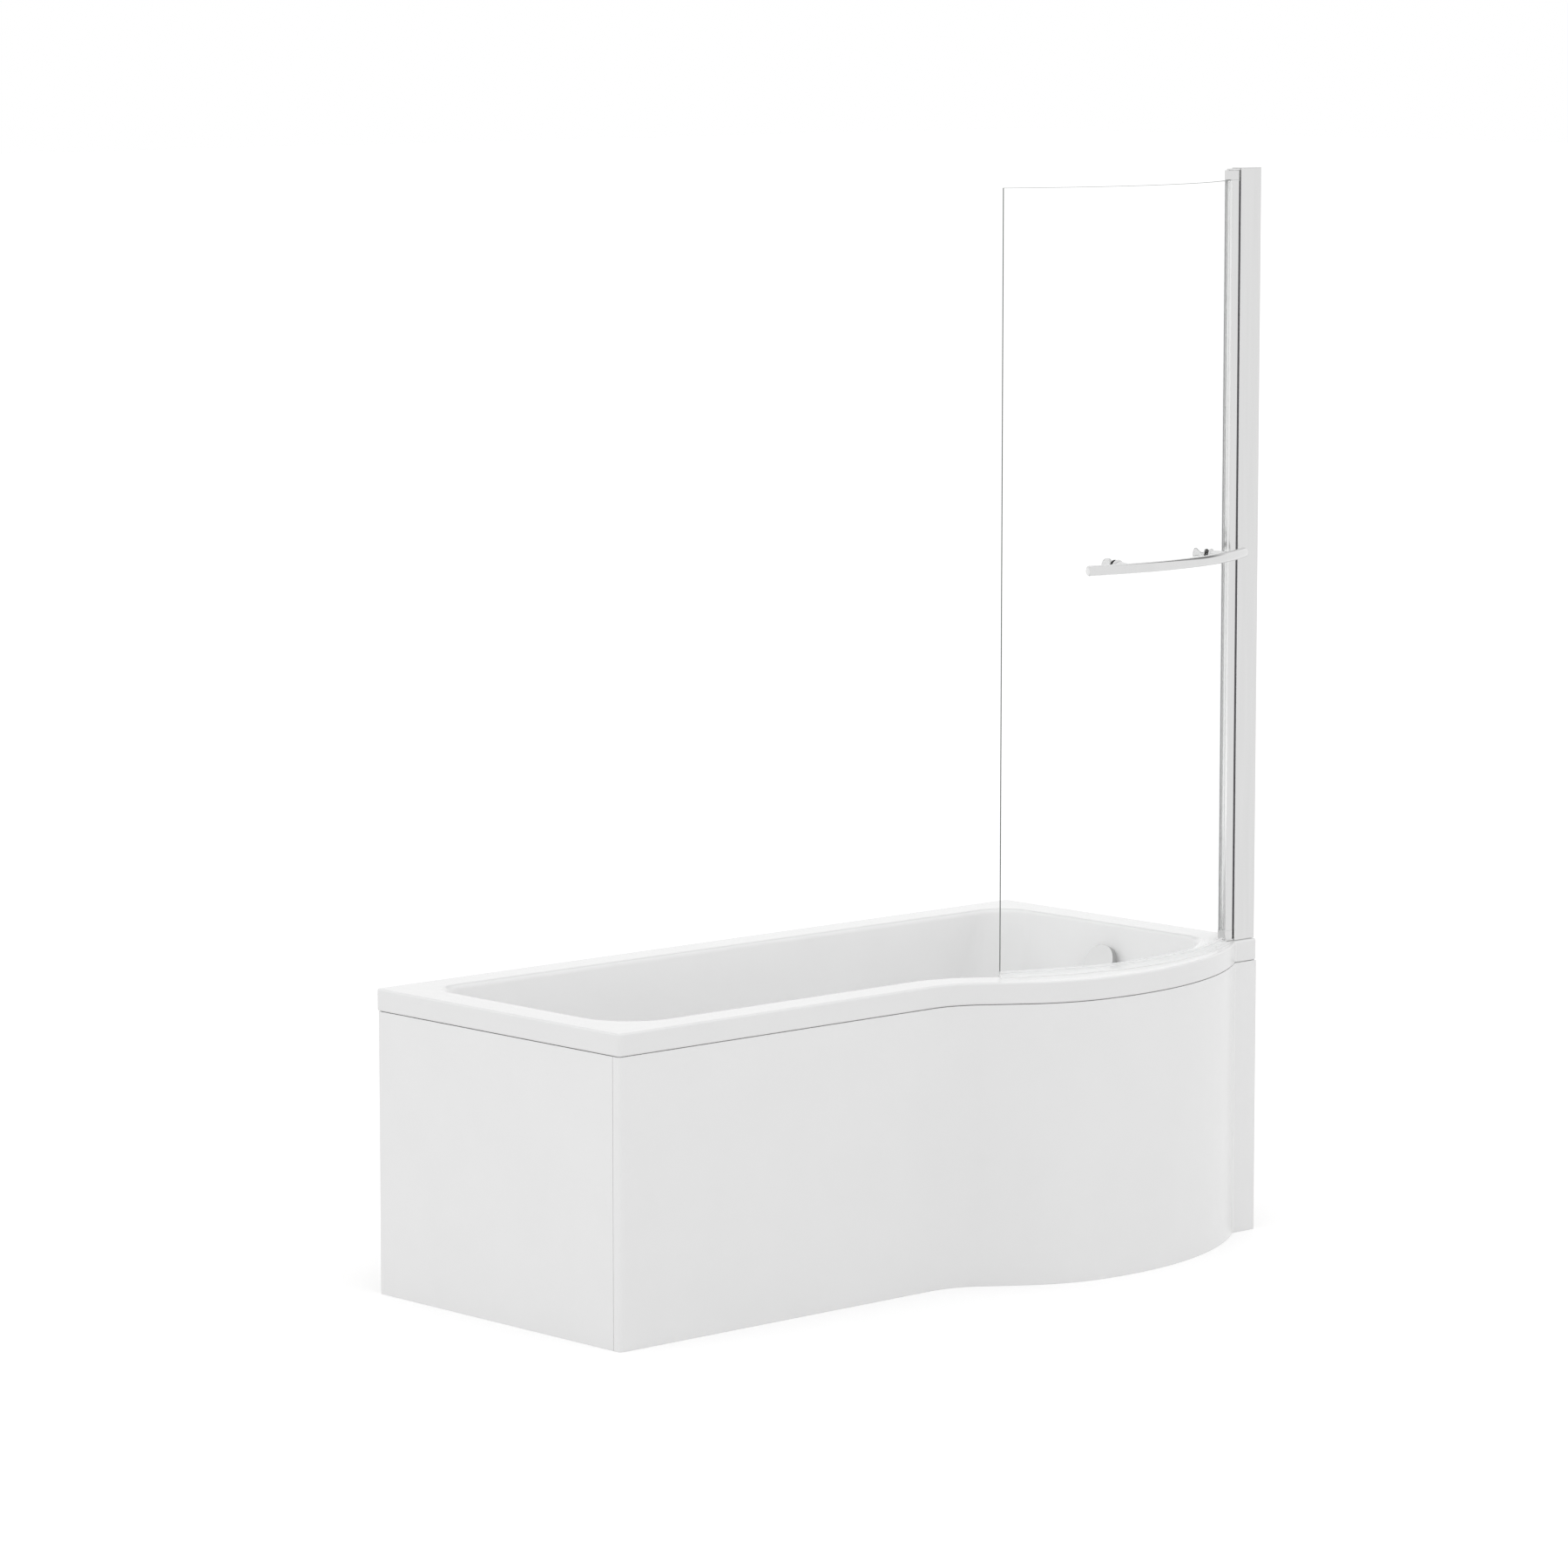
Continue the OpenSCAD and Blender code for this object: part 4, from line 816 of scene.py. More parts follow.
@dataclass(frozen=True)
class TubShell:
    """Moulded shell: rolled rim, lip, leaning walls and floor, with its two holes."""

    plan: PlanOutline
    top: float = 588.0
    lip_height: float = 42.5
    lip_wall: float = 6.0
    lip_round: float = 4.0
    wall: float = 5.0
    front_rim: float = 65.0
    back_rim: float = 62.0
    foot_rim: float = 69.0
    tap_rim: float = 68.0
    rim_round: float = 12.0
    depth: float = 388.0
    side_wall: Point2 = (8.0, 75.0)
    tap_wall: Point2 = (TAP_WALL_LEAN, 90.0)
    foot_wall: Point2 = (33.0, 120.0)
    corners: tuple[float, float, float, float] = (115.0, 62.0, 76.0, 72.0)
    corner_growth: float = 40.0
    waste_hole: float = 24.0
    overflow_hole: float = 24.5
    hole_reach: float = 20.0
    rim_steps: int = 12
    wall_steps: int = 8
    fillet_steps: int = 24
    tap_corner_steps: int = 40
    lip_top_steps: int = 8
    lip_low_steps: int = 6

    def section(self, lean_fillet: Point2, off: float) -> list[Point2]:
        """Returns a wall's section as [inset from the rim's edge, height].

        Args:
            lean_fillet: The wall's lean in degrees and its radius at the floor.
            off: Distance outside the face.

        Returns:
            The section's points, from the rim down to the floor.
        """
        lean, fillet = math.radians(lean_fillet[0]), lean_fillet[1]
        upper = math.pi / 2 - lean
        r = self.rim_round - off
        base = self.top - self.rim_round
        floor = self.top - self.depth
        x1, z1 = r * math.sin(upper), base + r * math.cos(upper)
        z2 = floor + fillet - (fillet + off) * math.sin(lean)
        x2 = x1 + (z1 - z2) * math.tan(lean)
        xc, zc = x2 + (fillet + off) * math.cos(lean), floor + fillet
        points = []
        for i in range(self.rim_steps + 1):
            a = upper * i / self.rim_steps
            points.append((r * math.sin(a), base + r * math.cos(a)))
        for i in range(1, self.wall_steps):
            points.append((x1 + (x2 - x1) * i / self.wall_steps,
                           z1 + (z2 - z1) * i / self.wall_steps))
        for i in range(self.fillet_steps + 1):
            a = lean + (math.pi / 2 - lean) * i / self.fillet_steps
            points.append((xc - (fillet + off) * math.cos(a), zc - (fillet + off) * math.sin(a)))
        return points

    def tub_ring(self, side: Point2, tap: Point2, foot: Point2, grow: float) -> Ring:
        """Returns one closed ring of the tub.

        Args:
            side: Section point of the front and back walls.
            tap: Section point of the tap end wall.
            foot: Section point of the foot end wall.
            grow: How much the corner radii grow.

        Returns:
            The ring's points.
        """
        front = self.front_rim + side[0]
        x0, x1 = self.foot_rim + foot[0], self.plan.length - self.tap_rim - tap[0]
        y1 = self.plan.width - self.back_rim - side[0]
        r_ff, r_fb, r_tb, r_tf = (r + grow for r in self.corners)
        centre, main = self.plan.main_centre, self.plan.main_radius
        xc = x1 - r_tf
        yc = centre[1] - math.sqrt((main - front - r_tf) ** 2 - (xc - centre[0]) ** 2)
        turn = math.degrees(math.atan2(xc - centre[0], centre[1] - yc))
        steps, long_steps = self.plan.corner_steps, self.plan.main_steps
        path = (arc((x0 + r_ff, front + r_ff), r_ff, -90, 0, steps)
                + self.plan.s_curve(front)
                + arc(centre, main - front, -self.plan.shoulder_angle, turn, long_steps, 1)
                + arc((xc, yc), r_tf, turn, 90, self.tap_corner_steps, 1)
                + arc((x1 - r_tb, y1 - r_tb), r_tb, 90, 180, steps)
                + arc((x0 + r_fb, y1 - r_fb), r_fb, 180, 270, steps))
        level = self.plan.hollow_steps + 1 + self.plan.shoulder_steps + 1 + long_steps
        heights = (self.blend(foot[1], side[1], steps)
                   + [side[1]] * level
                   + self.blend(side[1], tap[1], self.tap_corner_steps)[1:]
                   + self.blend(tap[1], side[1], steps)
                   + self.blend(side[1], foot[1], steps))
        return [(x, y, z) for (x, y), z in zip(path, heights)]

    @staticmethod
    def blend(first: float, last: float, steps: int) -> list[float]:
        """Returns heights that turn smoothly from one wall's to the next wall's."""
        return [first + (last - first) * math.sin(math.pi / 2 * i / steps) ** 2
                for i in range(steps + 1)]

    def tub_rings(self, off: float) -> list[Ring]:
        """Builds the rings of one face of the tub.

        Args:
            off: Distance outside the inner face.

        Returns:
            The rings, from the rim to the floor.
        """
        side = self.section(self.side_wall, off)
        tap = self.section(self.tap_wall, off)
        foot = self.section(self.foot_wall, off)
        return [self.tub_ring(s, t, f, off + self.corner_growth * (self.top - s[1]) / self.depth)
                for s, t, f in zip(side, tap, foot)]

    def lip_rings(self) -> list[Ring]:
        """Builds the rings of the lip's outside.

        Returns:
            The rings, from the rim's top to the lower edge.
        """
        rings = []
        for i in range(self.lip_top_steps + 1):
            a = math.pi / 2 * i / self.lip_top_steps
            rings.append(flat_ring(self.plan.lip(self.lip_round * (1 - math.sin(a))),
                                   self.top - self.lip_round * (1 - math.cos(a))))
        low = self.top - self.lip_height
        for i in range(self.lip_low_steps + 1):
            a = math.pi / 2 * i / self.lip_low_steps
            rings.append(flat_ring(self.plan.lip(self.lip_round * (1 - math.cos(a))),
                                   low + self.lip_round * (1 - math.sin(a))))
        return rings

    def build(self) -> bpy.types.Object:
        """Builds the shell and cuts its holes.

        Returns:
            The shell's object.
        """
        low = self.top - self.lip_height
        inside = [flat_ring(self.plan.lip(self.lip_wall), low),
                  flat_ring(self.plan.lip(self.lip_wall), self.top - self.wall)]
        rings = (list(reversed(self.tub_rings(0))) + self.lip_rings() + inside
                 + self.tub_rings(self.wall))
        shell = Shape().loft(rings).make("bath_shell_moulding")
        for radius, spot, axis in (
                (self.waste_hole, (*WASTE_SPOT, self.top - self.depth), (0, 0, 1)),
                (self.overflow_hole, OVERFLOW_SPOT, OVERFLOW_AXIS)):
            profile = [(radius, -self.hole_reach), (radius, self.hole_reach)]
            self.cut(shell, Shape().turned(profile, spot, axis))
        return hand_over(shell, WHITE_ACRYLIC, Body.BATH, Slot.ACRYLIC, "bath_shell")

    @staticmethod
    def cut(piece: bpy.types.Object, tool: Shape) -> None:
        """Cuts a shape out of a piece.

        Args:
            piece: The piece.
            tool: The shape that is taken away.
        """
        cutter = tool.make("cutter")
        hole = piece.modifiers.new("hole", "BOOLEAN")
        hole.operation = "DIFFERENCE"
        hole.solver = "EXACT"
        hole.object = cutter
        bpy.context.view_layer.objects.active = piece
        piece.modifiers.move(len(piece.modifiers) - 1, 0)
        graph = bpy.context.evaluated_depsgraph_get()
        kept = [m for m in piece.modifiers if m.type != "BOOLEAN"]
        for modifier in kept:
            modifier.show_viewport = False
        graph.update()
        solid = bpy.data.meshes.new_from_object(piece.evaluated_get(graph))
        piece.modifiers.remove(hole)
        piece.data = solid
        for modifier in kept:
            modifier.show_viewport = True
        bpy.data.objects.remove(cutter)


@dataclass(frozen=True)
class PanelSet:
    """Front panel, bent along the front and round the foot end corner, and the end panel."""

    plan: PlanOutline
    wall: float = 4.0
    inset: float = 1.5
    top: float = 544.7
    flange: float = 22.0
    wrap: float = 20.0
    seam: float = 1.0
    back_gap: float = 7.0
    edge: float = 0.8
    overlap: float = 0.5
    end_overlap: float = 1.0
    corner_steps: int = 24

    def path(self, inset: float) -> list[Point2]:
        """Draws the front panel's path in plan.

        Args:
            inset: Distance inside the lip.

        Returns:
            The path's points, from the foot end.
        """
        r = self.plan.corner_radius(inset)
        return ([(inset, self.wrap)]
                + arc((inset + r, inset + r), r, -90, 0, self.corner_steps)
                + self.plan.front(inset)
                + [(self.plan.length - self.inset, inset - self.plan.tap_return)])

    def build(self) -> list[bpy.types.Object]:
        """Builds both panels.

        Returns:
            The front panel and the end panel.
        """
        front = Shape()
        outer, inner = self.path(self.inset), self.path(self.inset + self.wall)
        front.prism(outer + list(reversed(inner)), 0, self.top)
        lip, root = self.inset + self.flange, self.inset + self.wall - self.overlap
        end = self.plan.length - self.inset
        outline = ([(lip, root)] + self.plan.front(root)
                   + [(end, root - self.plan.tap_return), (end, lip - self.plan.tap_return)]
                   + list(reversed(self.plan.front(lip))) + [(lip, lip)])
        for low in (0.0, self.top - self.wall):
            front.prism(outline, low, low + self.wall)
        panels = [hand_over(front.make("front_panel_sheet", bevel=self.edge), PANEL_ACRYLIC,
                            Body.BATH, Slot.PANEL, "front_panel")]
        x0, x1 = self.inset, self.inset + self.wall
        y0, y1 = self.wrap + self.seam, self.plan.width - self.back_gap
        side = Shape().prism([(x0, y0), (x1, y0), (x1, y1), (x0, y1)], 0, self.top)
        x2, y2 = x0 + self.end_overlap, lip + self.seam
        for low in (0.0, self.top - self.wall):
            side.prism([(x2, y2), (lip, y2), (lip, y1), (x2, y1)], low, low + self.wall)
        panels.append(hand_over(side.make("end_panel_sheet", bevel=self.edge), PANEL_ACRYLIC,
                                Body.BATH, Slot.PANEL, "end_panel"))
        return panels


@dataclass(frozen=True)
class Underframe:
    """Board, battens, bars, legs, clips and brackets, kept from the frame."""

    timber: tuple[str, ...] = ("front_batten", "back_batten", "end_battens")
    board: str = "base_board"
    sheets: tuple[str, ...] = ("leg_bar_foot", "leg_bar_tap", "centre_leg_plate", "panel_clips",
                               "wall_brackets")
    fixings: tuple[str, ...] = ("frame_screws", "leg_rods", "leg_nuts", "clip_screws",
                                "bracket_screws")
    feet: str = "leg_feet"

    def dress(self, nodes: dict[str, bpy.types.Object]) -> None:
        """Gives each kept node its finish.

        Args:
            nodes: The frame's nodes by name.
        """
        for names, finish in ((self.timber, SOFTWOOD), ((self.board,), CHIPBOARD),
                              (self.sheets, ZINC_SHEET), (self.fixings, ZINC_FIXINGS),
                              ((self.feet,), BLACK_PLASTIC)):
            for name in names:
                dress(nodes, name, finish)


def dress(nodes: dict[str, bpy.types.Object], name: str, finish: Finish) -> None:
    """Gives a CAD node a finish.

    Args:
        nodes: The frame's nodes by name.
        name: The node's name.
        finish: Its finish.
    """
    mesh = nodes[name].data
    mesh.materials.clear()
    mesh.materials.append(finish.material())
    LOG.info("%s is kept with %s", name, finish.name)


# ---- Waste and overflow --------------------------------------------------------------------


@dataclass(frozen=True)
class WasteSet:
    """Waste flange, plug, overflow dial and plate, with the pipes behind them."""

    floor: float = 200.0
    seal: float = 1.5
    flange_radius: float = 35.0
    flange: float = 3.0
    bore: float = 21.0
    bore_wall: float = 2.0
    bore_low: float = 192.0
    plug_radius: float = 30.0
    plug_low: float = 206.3
    plug: float = 5.0
    plug_dome: tuple[Point2, ...] = ((0.0, 0.0), (12.0, 0.45), (22.0, 1.5))
    plug_drop: float = 2.6
    plug_stem: Point2 = (4.0, 46.8)
    dial_radius: float = 38.0
    dial: float = 15.0
    dial_low: float = 6.5
    dial_edge: float = 0.7
    dial_stem: Point2 = (5.0, 24.0)
    dial_steps: int = 160
    side_limit: float = 0.3

    @staticmethod
    def stem(size: Point2) -> list[Point3]:
        """Returns the corners of a stem of a radius and length, below height 0."""
        return [(size[0], 0.0, 0), (size[0], -size[1], 0), (0.0, -size[1], 0)]

    def build(self, nodes: dict[str, bpy.types.Object]) -> None:
        """Builds the visible metal pieces and dresses the rest.

        Args:
            nodes: The frame's nodes by name.
        """
        low = self.floor + self.seal
        foot, outside = self.bore_low - low, self.bore + self.bore_wall
        ring = rounded([(self.bore, foot, 0), (self.bore, self.flange, 1.5),
                        (self.flange_radius, self.flange, 1.8), (self.flange_radius, 0.0, 0.3),
                        (outside, 0.0, 0), (outside, foot, 0)], closed=True)
        flange = Shape().turned(ring, (*WASTE_SPOT, low), joined=True).make("waste_flange_ring")
        hand_over(flange, CHROME, Body.BATH, Slot.CHROME, "waste_flange")
        crown = rounded([(x, self.plug - drop, 0) for x, drop in self.plug_dome]
                        + [(self.plug_radius, self.plug - self.plug_drop, 1.0),
                           (self.plug_radius, 0.0, 0.4)] + self.stem(self.plug_stem))
        plug = Shape().turned(crown, (*WASTE_SPOT, self.plug_low))
        hand_over(plug.make("waste_plug_dome"), CHROME, Body.PLUG, Slot.CHROME, "waste_plug")
        face = rounded([(0.0, self.dial, 0), (self.dial_radius, self.dial, self.dial_edge),
                        (self.dial_radius, 0.0, 0.6)] + self.stem(self.dial_stem))
        axis = Vector(OVERFLOW_AXIS)
        spot = tuple(Vector(OVERFLOW_SPOT) + axis * self.dial_low)
        turned = Shape().turned(face, spot, OVERFLOW_AXIS, steps=self.dial_steps)
        dial = turned.make("overflow_dial_face")
        hand_over(dial, CHROME, Body.DIAL, Slot.CHROME, "overflow_knob")
        # The dial's side faces get the darker chrome of painted shade
        dial.data.materials.append(PAINTED_DIAL_SHADE.material())
        for side in dial.data.polygons:
            if abs(side.normal.dot(axis)) < self.side_limit:
                side.material_index = 1
        for name, finish in (("overflow_plate", CHROME), ("waste_seals", BLACK_RUBBER),
                             ("plug_seal", BLACK_RUBBER), ("overflow_seals", BLACK_RUBBER),
                             ("waste_body", WHITE_PLASTIC), ("overflow_elbow", WHITE_PLASTIC),
                             ("overflow_pipes", WHITE_PLASTIC), ("overflow_bend", WHITE_PLASTIC),
                             ("popup_cable", BLACK_PLASTIC)):
            dress(nodes, name, finish)


# ---- Screen --------------------------------------------------------------------------------


@dataclass(frozen=True)
class GlassCurve:
    """Upright cylinder that the glass, its strip and its rail follow."""

    centre: Point2 = (1270.0, 517.0)
    radius: float = 600.0
    thickness: float = 6.0
    free_angle: float = 30.5

    def angle_at(self, x: float, out: float = 0.0) -> float:
        """Returns the angle at a distance along the bath, out from the glass's middle."""
        return math.degrees(math.asin((x - self.centre[0]) / (self.radius + out)))

    def rings(self, section: Sequence[Point2], start: float, end: float,
              steps: int) -> list[Ring]:
        """Sweeps an upright section round the curve.

        Args:
            section: Points as (distance outside the glass's middle, height).
            start: First angle in degrees.
            end: Last angle in degrees.
            steps: Number of steps.

        Returns:
            One ring for each step.
        """
        rings = []
        for i in range(steps + 1):
            a = math.radians(start + (end - start) * i / steps)
            rings.append([(self.centre[0] + (self.radius + d) * math.sin(a),
                           self.centre[1] - (self.radius + d) * math.cos(a), z)
                          for d, z in section])
        return rings

    def spot(self, angle: float, out: float, z: float) -> Point3:
        """Finds a point by its angle round the curve.

        Args:
            angle: Angle in degrees.
            out: Distance outside the glass's middle.
            z: Height.

        Returns:
            The point.
        """
        a = math.radians(angle)
        return (self.centre[0] + (self.radius + out) * math.sin(a),
                self.centre[1] - (self.radius + out) * math.cos(a), z)

    def outward(self, angle: float) -> Point3:
        """Returns the direction out of the glass at an angle."""
        a = math.radians(angle)
        return math.sin(a), -math.cos(a), 0.0


@dataclass(frozen=True)
class ScreenFrame:
    """Wall profile, post and hinge, with the swinging profile and its two caps."""

    curve: GlassCurve
    wall_x: float = 1618.5
    end_x: float = 1675.0
    depth: float = 26.0
    wall: float = 1.8
    low: float = 588.5
    high: float = 2112.0
    stile_x: float = 1594.0
    stile_end: float = 1613.0
    stile_depth: float = 23.0
    stile_round: float = 4.5
    stile_corner: float = 2.5
    back_round: float = 4.0
    # Width and face limit of the painted shade on the profile's back corner
    back_strip: float = 7.0
    back_limit: float = -0.2
    slot_gap: float = 1.3
    slot_depth: float = 7.0
    slot_edge: float = 0.4
    corner_steps: int = 8
    cap_lip: float = 1.0
    cap_soft: float = 0.8
    cap_low: float = 592.0
    stile_low: float = 610.0
    stile_high: float = 2090.1
    cap_high: float = 2108.6
    end_plate: float = 1.5
    end_soft: float = 0.4
    end_plug: tuple[float, float, float, float] = (1653.5, 2.1, 1672.9, 23.9)
    end_plug_depth: float = 10.0
    end_plug_rise: float = 0.5

    def stile_outline(self) -> list[Point2]:
        """Draws the swinging profile's section with the slot for the glass.

        Returns:
            The section's points.
        """
        half = self.curve.thickness / 2 + self.slot_gap
        corners = ([(self.stile_x, 0.0, self.stile_round),
                    (self.stile_end, 0.0, self.stile_corner),
                    (self.stile_end, self.stile_depth, self.stile_corner),
                    (self.stile_x, self.stile_depth, self.back_round)]
                   + self.slot_wall(-half, False) + self.slot_wall(half, True))
        return rounded(corners, closed=True, steps=self.corner_steps)

    def slot_wall(self, out: float, backward: bool) -> list[Point3]:
        """Returns one wall of the slot for the glass.

        Args:
            out: Distance outside the glass's middle.
            backward: Whether the wall runs from the slot's bottom to its mouth.

        Returns:
            The wall's corners as (x, y, radius).
        """
        first = self.curve.angle_at(self.stile_x, out)
        end = self.curve.angle_at(self.stile_x + self.slot_depth)
        angles = [first, (first + end) / 2, end]
        if backward:
            angles.reverse()
        return [(*self.curve.spot(a, out, 0.0)[:2], self.slot_edge if a == first else 0.0)
                for a in angles]

    def cap_outline(self) -> list[Point2]:
        """Draws the caps' section, which stands out past the profile.

        Returns:
            The section's points.
        """
        x0, x1 = self.stile_x - self.cap_lip, self.stile_end
        y1 = self.stile_depth + self.cap_lip
        r, corner = self.stile_round, self.stile_corner
        return rounded([(x0, 0.0, r), (x1, 0.0, corner), (x1, y1, corner), (x0, y1, r)],
                       closed=True, steps=self.corner_steps)

    def build(self, nodes: dict[str, bpy.types.Object]) -> None:
        """Builds the profiles and caps and dresses the hidden hinge parts.

        Args:
            nodes: The frame's nodes by name.
        """
        w, x0, x1, y1 = self.wall, self.wall_x, self.end_x, self.depth
        channel = rounded([(x0, 0, 1.6), (x1, 0, 0.5), (x1, y1, 0.5), (x0, y1, 0.5),
                           (x0, y1 - w, 0.3), (x1 - w, y1 - w, 0.4), (x1 - w, w, 0.4),
                           (x0, w, 0.3)], closed=True, steps=3)
        wall = Shape().prism(channel, self.low, self.high).make("wall_channel")
        hand_over(wall, BRIGHT_PROFILE, Body.BATH, Slot.PROFILE, "wall_profile")
        stile = Shape().prism(self.stile_outline(), self.stile_low, self.stile_high)
        hinge = stile.make("hinge_stile")
        hand_over(hinge, BRIGHT_PROFILE, Body.SCREEN, Slot.PROFILE, "hinge_profile")
        # Paints shade on the profile's back corner
        self.paint_back_shade(hinge)
        caps = ((self.cap_low, self.stile_low, "hinge_end_low", "hinge_cap_low"),
                (self.stile_high, self.cap_high, "hinge_end_top", "hinge_cap_top"))
        for low, high, name, node in caps:
            cap = Shape().prism(self.cap_outline(), low, high).make(name, bevel=self.cap_soft)
            hand_over(cap, CHROME, Body.SCREEN, Slot.CHROME, node)
        top = Shape().prism([(x0, 0), (x1, 0), (x1, y1), (x0, y1)], self.high,
                            self.high + self.end_plate)
        a0, b0, a1, b1 = self.end_plug
        top.prism([(a0, b0), (a1, b0), (a1, b1), (a0, b1)], self.high - self.end_plug_depth,
                  self.high + self.end_plug_rise)
        hand_over(top.make("wall_channel_end", bevel=self.end_soft), CHROME, Body.BATH,
                  Slot.CHROME, "profile_cap")
        for name, finish in (("adjusting_post", SATIN_POST),
                             ("hinge_bracket_low", BRIGHT_PROFILE),
                             ("hinge_bracket_top", BRIGHT_PROFILE),
                             ("hinge_pins", ZINC_FIXINGS), ("post_screws", ZINC_FIXINGS),
                             ("pivot_bushes", WHITE_NYLON), ("glazing_strips", CLEAR_STRIP)):
            dress(nodes, name, finish)

    def paint_back_shade(self, hinge: bpy.types.Object) -> None:
        """Paints a darker metal strip of painted shade on the narrow face and the corner behind
        the glass.

        Args:
            hinge: The swinging profile.
        """
        hinge.data.materials.append(PAINTED_BACK_SHADE.material())
        edge = place((self.stile_x + self.back_round, self.stile_depth - self.back_strip, 0.0))
        for face in hinge.data.polygons:
            behind = face.center.x < edge.x and face.center.y > edge.y
            if behind and face.normal.x < self.back_limit:
                face.material_index = 1


@dataclass(frozen=True)
class GlassPane:
    """Curved pane with ground edges that carry painted shade, and the ribbed strip under it."""

    curve: GlassCurve
    low: float = 592.0
    high: float = 2090.0
    end_x: float = 1600.5
    cap_x: float = 1592.5
    cap_high: float = 610.1
    edge: float = 0.7
    strip_wall: float = 1.4
    strip_low: float = 588.06
    strip_grip: float = 6.0
    bead: float = 0.7
    fin: float = 23.0
    strip_short: float = 1.3
    strip_end: float = 0.05
    strip_end_gap: float = 0.00625
    strip_gap: float = 0.1
    inner_fin: float = 7.0
    middle_fin: float = 8.0
    fin_tip: float = 0.6
    rib_at: float = 0.45
    rib_foot: Point2 = (1.2, 0.28)
    notch_room: float = 1.0
    edge_margin: float = 0.05
    under_limit: float = -0.3
    hidden_limit: float = 0.6
    top_limit: float = 0.5
    steps: int = 120
    notch_steps: int = 4
    notch_turn: float = 1.0

    @property
    def cap_edge(self) -> float:
        """Angle where the hinge cap's place starts."""
        return self.curve.angle_at(self.cap_x, self.curve.thickness / 2)

    def build(self) -> None:
        """Builds the pane and the strip."""
        half, e = self.curve.thickness / 2, self.edge
        section = [(-half, self.low + e), (-half + e, self.low), (half - e, self.low),
                   (half, self.low + e), (half, self.high - e), (half - e, self.high),
                   (-half + e, self.high), (-half, self.high - e)]
        start, end = -self.curve.free_angle, self.curve.angle_at(self.end_x)
        nip = math.degrees(e / self.curve.radius)
        face = [(d * (half - e) / half, z) for d, z in section]
        rings = (self.curve.rings(face, start, end, 1)[:1]
                 + self.curve.rings(section, start + nip, end, self.steps))
        pane = Shape().loft(rings).make("curved_pane")
        self.notch(pane)
        hand_over(pane, CLEAR_GLASS, Body.SCREEN, Slot.GLASS, "screen_glass")
        self.paint_edge_shade(pane)
        strip = Shape().loft(self.curve.rings(self.strip_section(), start - self.strip_end,
                                              self.cap_edge - self.strip_short, self.steps))
        seat, grip = self.low - self.strip_gap, self.low + self.strip_grip
        slot = [(half, seat), (half, grip), (-half, grip), (-half, seat)]
        strip.loft(self.curve.rings(slot, start - self.strip_end, start - self.strip_end_gap, 1))
        hand_over(strip.make("drip_strip", sharp=40.0), CLEAR_STRIP, Body.SCREEN,
                  Slot.CLEAR_STRIP, "bottom_seal")

    def notch(self, pane: bpy.types.Object) -> None:
        """Cuts the pane's lower corner out of the hinge cap's place.

        Args:
            pane: The pane.
        """
        half = self.curve.thickness / 2 + self.notch_room
        under = self.low - self.notch_room
        corner = [(-half, under), (half, under), (half, self.cap_high), (-half, self.cap_high)]
        end = self.curve.angle_at(self.end_x) + self.notch_turn
        tool = Shape().loft(self.curve.rings(corner, self.cap_edge, end, self.notch_steps))
        TubShell.cut(pane, tool)

    def paint_edge_shade(self, pane: bpy.types.Object) -> None:
        """Paints shade on the pane's edges: dark grey on its free end and a lighter grey on its
        top, which faces up.

        Args:
            pane: The pane.
        """
        pane.data.materials.append(EDGE_PAINTED_SHADE.material())
        pane.data.materials.append(TOP_EDGE_PAINTED_SHADE.material())
        middle = place((*self.curve.centre, 0.0))
        half = self.curve.thickness / 2 - self.edge_margin
        for face in pane.data.polygons:
            reach = (face.center - middle).to_2d().length / MM - self.curve.radius
            shown = face.normal.z > self.under_limit and face.normal.x < self.hidden_limit
            if abs(reach) < half and shown:
                face.material_index = 2 if face.normal.z > self.top_limit else 1

    def strip_section(self) -> list[Point2]:
        """Draws the strip's section, with its grip, bead, fins and rib.

        Returns:
            Points as (distance outside the glass's middle, height).
        """
        half, w = self.curve.thickness / 2 + self.strip_gap, self.strip_wall
        top, seat = self.low + self.strip_grip, self.low - self.strip_gap
        low, z = self.strip_low, self.low - self.strip_gap - self.strip_wall
        bead, tip = self.bead, self.fin_tip
        inner, middle = -half - self.inner_fin, half + self.middle_fin
        rib = (half + w + (self.fin - half - w) * self.rib_at,
               z + 2 * w + (low + tip - z - 2 * w) * self.rib_at)
        wide, tall = self.rib_foot
        corners = [(-half, top, 0.3), (-half - w, top, 0.3), (-half - w, z, 0.5),
                   (inner, low + 0.2, 0), (inner + w, low, 0), (-half, z - 1, 0.4),
                   (half, z - 1, 0.4), (middle, low, 0), (middle + w, low + 0.2, 0),
                   (half + w + 1, z, 0.4), (self.fin - w, low, 0), (self.fin, low + tip, 0.2),
                   (rib[0] + wide, rib[1] - tall, 0), (rib[0], rib[1] + bead, 0.3),
                   (rib[0] - wide, rib[1] + tall, 0), (half + w, z + 2 * w, 0.5),
                   (half + w, top - 3 * bead, 0), (half + w + bead, top - 2 * bead, 0.3),
                   (half + w + bead, top - bead / 2, 0.3), (half + w, top, 0.3),
                   (half, top, 0.3), (half, seat, 0), (-half, seat, 0)]
        return rounded(corners, closed=True, steps=3)


